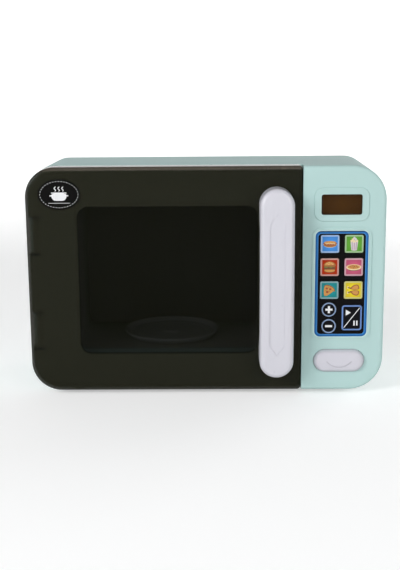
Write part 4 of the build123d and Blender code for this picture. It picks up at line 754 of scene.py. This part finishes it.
def smooth(corners, steps=8):
    """A closed smooth line through a few points: a Catmull-Rom spline."""
    points = []
    count = len(corners)
    for i in range(count):
        a, b, c, d = (Vector(corners[(i + k) % count]) for k in (-1, 0, 1, 2))
        for step in range(steps):
            t = step / steps
            slope_b, slope_c = (c - a) / 2, (d - b) / 2
            point = (
                (2 * t**3 - 3 * t**2 + 1) * b
                + (t**3 - 2 * t**2 + t) * slope_b
                + (3 * t**2 - 2 * t**3) * c
                + (t**3 - t**2) * slope_c
            )
            points.append(tuple(point))
    return points


def stroke(path, width):
    """The outline of a line of even width along a path, with square ends."""
    left, right = [], []
    for i, point in enumerate(path):
        before = Vector(path[max(i - 1, 0)])
        after = Vector(path[min(i + 1, len(path) - 1)])
        along = (after - before).normalized()
        aside = Vector((-along.y, along.x)) * width / 2
        left.append(tuple(Vector(point) + aside))
        right.append(tuple(Vector(point) - aside))
    return left + right[::-1]


def bar(x, z, width, height):
    """A level rectangle."""
    return stroke([(x - width / 2, z), (x + width / 2, z)], height)


# %% [markdown]
# ## Ink that stands on a face
# A printing screen lays ink down in thin layers. An image on the key could stand in for them,
# but real layers stay sharp at any distance. Each is a closed outline that a Blender curve fills
# and gives a thickness. They stack outwards, so the last one drawn is on top.

# %% A print on a node's face
INK = 0.00003


def printed_ink(name, color):
    """Screen-printed ink: a fine dot grain in its colour, and an uneven gloss."""
    g = Graph(name)
    dots = g.noise(2400.0, detail=1.0)
    tone = g.mix(dots, scaled(color, 0.82), scaled(color, 1.12))
    rough = 0.3 + (g.noise(300.0) - 0.5) * 0.12
    return g.finish(Base_Color=tone, Roughness=rough.clamp(), Normal=g.bump(dots, 0.000005))


class Print:
    """A picture on a node's front face. Its ink layers become one mesh."""

    def __init__(self, name, node):
        self.name = name
        self.node = node
        self.middle = front_of(node)[0]
        self.mesh = bmesh.new()
        self.materials = []
        self.layer = 0

    def ink(self, material, *outlines):
        """One more layer on top: outlines in millimetres, an outline inside another is a hole."""
        curve = bpy.data.curves.new("ink", "CURVE")
        curve.dimensions = "2D"
        curve.fill_mode = "BOTH"
        curve.extrude = INK / 2
        for outline in outlines:
            spline = curve.splines.new("POLY")
            spline.points.add(len(outline) - 1)
            for point, (x, z) in zip(spline.points, outline):
                point.co = (x / 1000, z / 1000, 0, 1)
            spline.use_cyclic_u = True
        self.layer += 1
        holder = bpy.data.objects.new("ink", curve)
        flat = bpy.data.meshes.new_from_object(holder)
        # The first layer's back stands a tenth of its thickness off the face.
        flat.transform(facing_front(self.middle + Vector((0, -INK * (self.layer - 0.4), 0))))
        if material not in self.materials:
            self.materials.append(material)
        first = len(self.mesh.faces)
        self.mesh.from_mesh(flat)
        self.mesh.faces.ensure_lookup_table()
        for face in self.mesh.faces[first:]:
            face.material_index = self.materials.index(material)
        bpy.data.objects.remove(holder)
        bpy.data.curves.remove(curve)
        bpy.data.meshes.remove(flat)

    def done(self, slot):
        """Turn the layers into a piece that rides with its node."""
        bmesh.ops.remove_doubles(self.mesh, verts=self.mesh.verts, dist=1e-7)
        bmesh.ops.recalc_face_normals(self.mesh, faces=self.mesh.faces)
        data = bpy.data.meshes.new(self.name)
        self.mesh.to_mesh(data)
        self.mesh.free()
        for material in self.materials:
            data.materials.append(material)
        piece = added(self.name, data)
        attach(piece, nodes[self.node]["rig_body"])
        return piece


# %% [markdown]
# ## The food pictures
# Six plain foods share a few inks. Each picture is drawn from back to front, its large forms
# first and its small details last.

# %% Inks
bread = printed_ink("bread_ink", srgb(206, 146, 70))
crust = printed_ink("crust_ink", srgb(160, 96, 38))
toasted = printed_ink("toasted_ink", srgb(112, 62, 26))
cream = printed_ink("cream_ink", srgb(236, 216, 170))
sausage = printed_ink("sausage_ink", srgb(158, 74, 40))
paper = printed_ink("paper_ink", srgb(216, 206, 210))
stripe = printed_ink("stripe_ink", srgb(176, 146, 160))
leaf = printed_ink("leaf_ink", srgb(96, 132, 48))
tomato = printed_ink("tomato_ink", srgb(178, 58, 34))
white_ink = printed_ink("white_ink", srgb(236, 236, 238))
print("materials so far:", len(bpy.data.materials))

# %% [markdown]
# ### Hot dog and popcorn
# A sausage lies between the halves of a bun, under a wave of sauce. The popcorn's cup is striped,
# and one ragged outline makes all its kernels.


# %% Draw the hot dog and the popcorn
def draw_hot_dog():
    p = Print("hot_dog_picture", "hot_dog_key")
    p.ink(cream, oval(0, -0.4, 12.0, 5.6))
    p.ink(crust, oval(0, -0.9, 11.4, 3.8))
    p.ink(sausage, oval(0, 0.3, 12.2, 3.0))
    p.ink(bread, oval(0, 1.3, 10.8, 2.8))
    wave = [(x / 4 - 4.5, 0.35 + 0.45 * math.sin(x * 0.7)) for x in range(37)]
    p.ink(cream, stroke(wave, 0.5))
    return p.done("key_blue")


KERNEL = [(1, 0), (0.6, 0.5), (0.3, 1), (-0.3, 0.7)]
KERNEL += [(-1, 0.5), (-0.7, -0.2), (-0.6, -0.9), (0.3, -0.8)]


def popped(x, z, size):
    """The ragged outline of one popped kernel."""
    return smooth([(x + size / 2 * a, z + size / 2 * b) for a, b in KERNEL], 4)


def draw_popcorn():
    p = Print("popcorn_picture", "popcorn_key")
    p.ink(paper, [(-3.4, 2.2), (3.4, 2.2), (2.4, -5.8), (0, -6.1), (-2.4, -5.8)])
    for x in (-2.0, 0.0, 2.0):
        p.ink(stripe, stroke([(x, 1.8), (x * 0.75, -5.4)], 0.7))
    for x, z, size in ((-2.4, 2.6, 2.4), (0.0, 2.3, 2.6), (2.4, 2.6, 2.4), (-1.2, 4.0, 2.5)):
        p.ink(cream, popped(x, z, size))
    for x, z, size in ((1.2, 4.1, 2.5), (0.0, 5.4, 2.2)):
        p.ink(paper, popped(x, z, size))
    return p.done("key_green")


print("drawn:", draw_hot_dog().name, draw_popcorn().name)

# %% [markdown]
# ### Burger and pie
# The burger is a stack of layers, each over part of the one below. Seeds and vents are ovals
# turned by their place, so that no two look alike.


# %% Draw the burger and the pie
def draw_burger():
    p = Print("burger_picture", "burger_key")
    p.ink(toasted, oval(0, -3.3, 9.4, 3.6))
    p.ink(bread, oval(0, -2.9, 9.4, 3.2))
    p.ink(toasted, bar(0, -1.0, 10.0, 2.3))
    frill = [(-5.2, 0.4), (-3, -0.5), (-1, 0.2), (1, -0.5), (3, 0.2), (5.2, 0.4), (0, 1.2)]
    p.ink(leaf, smooth(frill))
    p.ink(tomato, bar(0, 0.9, 9.2, 0.8))
    p.ink(crust, smooth([(-5.1, 1.1), (-4.4, 3.6), (0, 5.3), (4.4, 3.6), (5.1, 1.1), (0, 0.7)]))
    p.ink(bread, smooth([(-4.2, 1.9), (-3.6, 3.7), (-0.4, 4.9), (3.2, 3.8), (3.9, 2.2), (0, 1.9)]))
    for x, z in ((-2.4, 3.4), (-0.6, 4.1), (1.3, 3.4), (2.6, 2.8), (-0.8, 2.8)):
        p.ink(cream, oval(x, z, 0.8, 0.45, turn=0.5 * x))
    return p.done("key_red")


def draw_pie():
    p = Print("pie_picture", "pie_key")
    p.ink(toasted, smooth([(-5.6, -0.6), (-3.6, -3.2), (3.6, -3.2), (5.6, -0.6), (0, -1.2)]))
    p.ink(cream, oval(0, -0.2, 13.4, 5.4))
    p.ink(bread, oval(0, 0.1, 11.2, 3.9))
    for x, z in ((-3.2, 0.4), (-1.4, 1.0), (0.5, 0.5), (2.4, 0.9), (-0.4, -0.7), (3.4, -0.1)):
        p.ink(toasted, oval(x, z, 1.2, 0.8, turn=x))
    for x, z in ((-2.3, -0.3), (1.4, -0.3), (-0.4, 1.5)):
        p.ink(tomato, oval(x, z, 0.9, 0.6))
    return p.done("key_pink")


print("drawn:", draw_burger().name, draw_pie().name)

# %% [markdown]
# ### Pizza and chicken
# The slice is a smooth wedge with a crust. The chicken legs are one outline, drawn once as it is
# and once upside down.


# %% Draw the pizza and the chicken
def draw_pizza():
    p = Print("pizza_picture", "pizza_key")
    edge = [(-4.6, 4.0), (-1.4, 4.9), (3.2, 2.8), (5.1, -0.4), (4.1, -1.0), (-3.0, 2.9)]
    p.ink(crust, smooth(edge))
    p.ink(bread, smooth([(-4.3, 3.4), (0.6, 3.3), (4.1, -0.3), (-3.9, -5.4)], 5))
    for x, z in ((-2.2, 1.6), (0.9, 1.0), (-1.7, -1.6)):
        p.ink(toasted, oval(x, z, 2.1, 1.8))
        p.ink(tomato, oval(x + 0.1, z + 0.1, 1.6, 1.3))
    for x, z in ((-0.4, 2.4), (-3.1, -0.4), (0.2, -0.9), (2.6, -0.1)):
        p.ink(leaf, oval(x, z, 1.0, 0.5, turn=x))
    return p.done("key_teal")


def draw_chicken():
    p = Print("chicken_picture", "chicken_key")
    for way in (1, -1):
        leg = [(5.4, 1.2), (4.2, 4.8), (0.6, 4.6), (-2.4, 2.2), (-2.6, 1.0), (1.6, 0.1)]
        p.ink(crust, smooth([(x, way * z) for x, z in leg]))
        p.ink(bread, smooth([(x * 0.7 + 0.7, way * (z * 0.7 + 0.6)) for x, z in leg]))
        p.ink(toasted, stroke([(-2.0, way * 1.6), (-4.6, way * 2.3)], 0.9))
        p.ink(cream, oval(-4.9, way * 2.9, 1.5, 1.1), oval(-5.0, way * 1.7, 1.2, 1.0))
    return p.done("key_yellow")


print("drawn:", draw_pizza().name, draw_chicken().name)

# %% [markdown]
# ## Signs on the round keys and the play key
# Plus, minus, play and pause are plain signs that any such keypad has. A font could give them,
# but bars and strokes are as quick, and they share the pictures' ink.


# %% Draw the signs
def draw_signs():
    plus = Print("plus_sign", "plus_key")
    plus.ink(white_ink, bar(0, 0, 6.4, 1.9))
    plus.ink(white_ink, stroke([(0, -3.2), (0, 3.2)], 1.9))
    minus = Print("minus_sign", "minus_key")
    minus.ink(white_ink, bar(0, 0, 6.4, 1.9))
    play = Print("play_sign", "play_key")
    play.ink(white_ink, stroke([(-7.0, -9.2), (7.0, 9.2)], 0.7))
    play.ink(white_ink, [(-5.4, 2.0), (-5.4, 7.6), (-0.8, 4.8)])
    play.ink(white_ink, stroke([(2.2, -2.6), (2.2, -7.2)], 1.3))
    play.ink(white_ink, stroke([(4.7, -2.6), (4.7, -7.2)], 1.3))
    return [sign.done("key_black") for sign in (plus, minus, play)]


print("signs:", len(draw_signs()))

# %% [markdown]
# ## The badge
# A small black oval badge sits on the door's upper corner. Its dashed ring is a pattern that
# follows a path, which is a job for Geometry Nodes. As with the shaders, a small class makes the
# tree's nodes. Its sizes are named inputs.


# %% A maker of Geometry Nodes trees
class Tree:
    """A Geometry Nodes tree, whose inputs have a name, a kind and a value."""

    def __init__(self, name, inputs):
        self.group = bpy.data.node_groups.new(name, "GeometryNodeTree")
        sockets = self.group.interface
        sockets.new_socket("Mesh", in_out="OUTPUT", socket_type="NodeSocketGeometry")
        for key, (kind, value) in inputs.items():
            socket = sockets.new_socket(key, in_out="INPUT", socket_type=kind)
            socket.default_value = value
        self.source = self.group.nodes.new("NodeGroupInput")

    def named(self, name):
        return self.source.outputs[name]

    def add(self, kind, settings=None, **sockets):
        node = self.group.nodes.new(kind)
        for key, setting in (settings or {}).items():
            setattr(node, key, setting)
        for key, value in sockets.items():
            socket = node.inputs[key.replace("_", " ")]
            if isinstance(value, bpy.types.NodeSocket):
                self.group.links.new(value, socket)
            else:
                socket.default_value = value
        return node.outputs[0]

    def applied(self, name):
        """A plain mesh made by the tree."""
        base = added(name, bpy.data.meshes.new(name))
        base.modifiers.new("tree", "NODES").node_group = self.group
        evaluated = base.evaluated_get(bpy.context.evaluated_depsgraph_get())
        mesh = bpy.data.meshes.new_from_object(evaluated)
        bpy.data.objects.remove(base)
        return mesh


# %% [markdown]
# ### Dashes along an oval
# An oval curve, points spread evenly along it, and a dash on each point, turned to follow the
# curve. A loop over equal angles would crowd the dashes at the oval's narrow ends.


# %% The tree of the dashed ring
def dashed_oval_tree(material, inputs):
    """Dashes of this material along an oval."""
    tree = Tree("dashed_oval", inputs)
    circle = tree.add("GeometryNodeCurvePrimitiveCircle", Radius=0.5)
    sizes = tree.add("ShaderNodeCombineXYZ", X=tree.named("Width"), Y=tree.named("Height"), Z=1.0)
    path = tree.add("GeometryNodeTransform", Geometry=circle, Scale=sizes)
    spread = tree.add("GeometryNodeResampleCurve", Curve=path, Count=tree.named("Dashes"))
    along = tree.add("GeometryNodeInputTangent")
    turn = tree.add("FunctionNodeAlignRotationToVector", {"axis": "X"}, Vector=along)
    dash = tree.add("GeometryNodeMeshCube", Size=tree.named("Dash Size"))
    laid = tree.add("GeometryNodeInstanceOnPoints", Points=spread, Instance=dash, Rotation=turn)
    real = tree.add("GeometryNodeRealizeInstances", Geometry=laid)
    inked = tree.add("GeometryNodeSetMaterial", Geometry=real, Material=material)
    sink = tree.group.nodes.new("NodeGroupOutput")
    tree.group.links.new(inked, sink.inputs[0])
    return tree


# %% [markdown]
# ### Ring and pot
# The ring lies just inside the badge's edge. Inside it is a plain cooking pot with steam, over a
# line, drawn in ink like the pictures on the keys.

# %% Lay the ring on the badge and draw the pot
RING_INSET = 0.0018
POT_GROWTH = 1.3
POT_RISE = 0.8
badge_tone = srgb(12, 12, 11)
badge_black = moulded_plastic("badge_black", badge_tone, 0.35, 0.2, specular=DARK_GLOSS)
dress(badge_black, "door_badge")
badge_middle, badge_width, badge_height = front_of("door_badge")
ring_inputs = {
    "Width": ("NodeSocketFloat", badge_width - 2 * RING_INSET),
    "Height": ("NodeSocketFloat", badge_height - 2 * RING_INSET),
    "Dashes": ("NodeSocketInt", 36),
    "Dash Size": ("NodeSocketVector", (0.0009, 0.0005, INK)),
}
ring_mesh = dashed_oval_tree(white_ink, ring_inputs).applied("badge_ring")
ring_mesh.transform(facing_front(badge_middle + Vector((0, -INK / 2, 0))))
badge_ring = added("badge_ring", ring_mesh)
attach(badge_ring, nodes["door_badge"]["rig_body"])


def grown(points):
    """The same outline, larger and moved up, in millimetres."""
    return [(x * POT_GROWTH, z * POT_GROWTH + POT_RISE) for x, z in points]


def draw_badge():
    p = Print("badge_pot", "door_badge")
    body = smooth([(-4.6, -0.2), (4.6, -0.2), (4.0, -4.2), (0, -4.8), (-4.0, -4.2)], 6)
    p.ink(white_ink, grown(body))
    p.ink(white_ink, grown(stroke([(-6.4, -1.4), (-4.2, -1.4)], 0.8)))
    p.ink(white_ink, grown(stroke([(4.2, -1.4), (6.4, -1.4)], 0.8)))
    p.ink(white_ink, grown(bar(0, 0.5, 10.4, 0.7)))
    p.ink(white_ink, bar(0, -7.6, 19.0, 0.35))
    for x in (-2.6, 0.0, 2.6):
        wave = [(x + 0.5 * math.sin(step * 0.62), 1.7 + step * 0.26) for step in range(13)]
        p.ink(white_ink, grown(stroke(wave, 0.5)))
    return p.done("badge_black")


print("drawn:", draw_badge().name, "and a ring of", len(ring_mesh.polygons), "faces")

# %% [markdown]
# ## The latch's spring
# The release button swings a lever, which draws the catch down from the door's hook and presses
# a small coil spring. CAD holds the coil rigid, so the lever would cut into it. It could be bent
# with a driver; here the coil is only merged into one piece and copied into the spring's place.


def soft_spring():
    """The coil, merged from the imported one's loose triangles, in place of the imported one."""
    coil = bmesh.new()
    coil.from_mesh(nodes["latch_spring"].data)
    bmesh.ops.remove_doubles(coil, verts=coil.verts, dist=1e-6)
    data = bpy.data.meshes.new("latch_coil")
    coil.to_mesh(data)
    coil.free()
    data.materials.clear()
    data.materials.append(nickel)
    piece = added("latch_coil", data)
    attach(piece, nodes["latch_spring"]["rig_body"])
    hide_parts("latch_spring")
    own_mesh(piece)
    return len(data.polygons)


print("coil faces:", soft_spring())

# %% [markdown]
# ## Paper floor
# The toy stands on pale paper that curves up behind it, as in a product studio, so that there is
# no horizon. A camera ray, or one that has only met gloss or glass, sees the paper brighter, and
# a camera ray sees it white far from the toy. That keeps the background near white without any
# more light on the toy.


# %% Floor and backdrop
def rays_that_see(g):
    """1 for camera rays, and 1 for rays that have only met gloss or glass."""
    node = g.tree.nodes.new("ShaderNodeLightPath")
    rays = ("Camera", "Glossy", "Transmission")
    camera_ray, gloss_ray, glass_ray = (Value(g, node.outputs[f"Is {ray} Ray"]) for ray in rays)
    return camera_ray, gloss_ray.maximum(glass_ray)


FAR_START = 0.7
FAR_WIDTH = 1.3


def studio_paper(color, lift):
    """Pale paper, seen a little brighter than it is lit, and quite white far from the toy."""
    g = Graph("studio_paper")
    x, y, _ = g.place()
    tone = g.mix(g.noise(3.0, detail=2.0), scaled(color, 0.98), scaled(color, 1.01))
    far = ((x.length_with(y) - FAR_START) / FAR_WIDTH).clamp()
    camera_ray, gloss_ray = rays_that_see(g)
    strength = camera_ray * (far * (1.0 - lift) + lift) + gloss_ray * lift
    glow = g.mix(strength.clamp(), (0.0, 0.0, 0.0), (1.0, 1.0, 1.0))
    return g.finish(Base_Color=tone, Roughness=0.85, Emission_Color=glow, Emission_Strength=1.0)


FLOOR_FRONT = -9.0
FLOOR_SIDE = 9.0
BEND_START = 0.9
BEND_RADIUS = 0.9
BEND_STEPS = 16
BACKDROP_TOP = 3.2
PAPER_LIFT = 0.40


def make_sweep():
    """A floor that rises into a backdrop, its profile a quarter circle between two straights."""
    profile = [(FLOOR_FRONT, 0.0), (BEND_START, 0.0)]
    for step in range(1, BEND_STEPS + 1):
        angle = math.pi / 2 * step / BEND_STEPS
        rise = BEND_RADIUS * (1 - math.cos(angle))
        profile.append((BEND_START + BEND_RADIUS * math.sin(angle), rise))
    profile.append((BEND_START + BEND_RADIUS, BACKDROP_TOP))
    mesh = bpy.data.meshes.new("sweep")
    points = [(x, y, z) for y, z in profile for x in (-FLOOR_SIDE, FLOOR_SIDE)]
    faces = [(2 * i, 2 * i + 1, 2 * i + 3, 2 * i + 2) for i in range(len(profile) - 1)]
    mesh.from_pydata(points, [], faces)
    mesh.materials.append(studio_paper((0.82, 0.82, 0.82), PAPER_LIFT))
    for face in mesh.polygons:
        face.use_smooth = True
    sweep = added("sweep", mesh)
    return len(mesh.polygons)


print("floor and backdrop:", make_sweep(), "faces")

# %% [markdown]
# ## Lamps and world
# Three soft lamps. The key lamp stands low to the left, so that the door's handle and edge shade
# the control panel a little. A wider one in front of the toy fills those shades, and one low
# behind it, to the right, lights its back. The world gives the rest of the light, and fades
# overhead, so that the case's top stays a little darker than its front.

# %% Lamps and world
LAMP_TARGET = Vector((0.0, 0.0, 0.1))
FADE_START = 0.1
FADE_END = 0.8
OVERHEAD_STRENGTH = 0.1


def soft_lamp(name, place, size, power):
    """A rectangle that shines on the toy's middle."""
    light = bpy.data.lights.new(name, "AREA")
    light.shape = "RECTANGLE"
    light.size, light.size_y = size
    light.energy = power
    lamp = added(name, light)
    lamp.location = place
    lamp.rotation_euler = (LAMP_TARGET - Vector(place)).to_track_quat("-Z", "Y").to_euler()
    print(name, power, "W")


def studio_world(color, strength):
    """A sky of this strength that fades overhead, and that camera rays see at full strength."""
    world = bpy.data.worlds.new("studio")
    world.use_nodes = True
    tree = world.node_tree
    background = tree.nodes["Background"]
    background.inputs["Color"].default_value = (*color, 1.0)
    path = tree.nodes.new("ShaderNodeLightPath")
    choose = tree.nodes.new("ShaderNodeMix")
    tree.links.new(path.outputs["Is Camera Ray"], choose.inputs["Factor"])
    place = tree.nodes.new("ShaderNodeTexCoord")
    split = tree.nodes.new("ShaderNodeSeparateXYZ")
    tree.links.new(place.outputs["Generated"], split.inputs[0])
    fade = tree.nodes.new("ShaderNodeMapRange")
    tree.links.new(split.outputs["Z"], fade.inputs["Value"])
    ends = (FADE_START, FADE_END, strength, OVERHEAD_STRENGTH)
    for name, value in zip(("From Min", "From Max", "To Min", "To Max"), ends):
        fade.inputs[name].default_value = value
    tree.links.new(fade.outputs[0], choose.inputs[2])
    choose.inputs[3].default_value = 1.0
    tree.links.new(choose.outputs[0], background.inputs["Strength"])
    bpy.context.scene.world = world


soft_lamp("key_lamp", (-1.45, -1.35, 0.95), (0.9, 0.9), 26.0)
soft_lamp("front_lamp", (1.1, -1.7, 0.7), (1.2, 0.8), 13.5)
soft_lamp("back_lamp", (1.6, 1.1, 0.5), (1.0, 0.8), 14.0)
studio_world((0.97, 0.99, 1.0), 0.50)
bpy.context.scene.view_settings.view_transform = "Standard"

# %% [markdown]
# ## The camera
# It stands a little over 0.9 m in front of the toy, slightly right of its middle and about
# 90 mm over its top, and looks down by 12 degrees. Its lens is given in pixels of a frame that
# is 570 pixels high, because that is how a camera is fitted to known corners of an object.

# %% Place the camera
FRAME_HEIGHT = 570.0
FOCAL_PIXELS = 1043.8
YAW = math.radians(-0.86)
PITCH = math.radians(12.29)
ROLL = math.radians(-0.50)
camera = bpy.data.cameras.new("camera")
camera.sensor_fit = "VERTICAL"
camera.sensor_height = 36.0
camera.lens = FOCAL_PIXELS * camera.sensor_height / FRAME_HEIGHT
viewer = added("camera", camera)
viewer.location = (0.00826, -0.9689, 0.30207)
level = math.cos(PITCH)
forward = Vector((math.sin(YAW) * level, math.cos(YAW) * level, -math.sin(PITCH)))
level_right = Vector((math.cos(YAW), -math.sin(YAW), 0.0))
level_up = level_right.cross(forward)
right = math.cos(ROLL) * level_right + math.sin(ROLL) * level_up
up = -math.sin(ROLL) * level_right + math.cos(ROLL) * level_up
viewer.rotation_euler = Matrix((right, up, -forward)).transposed().to_euler()
bpy.context.scene.camera = viewer
print("lens:", round(camera.lens, 2), "mm")
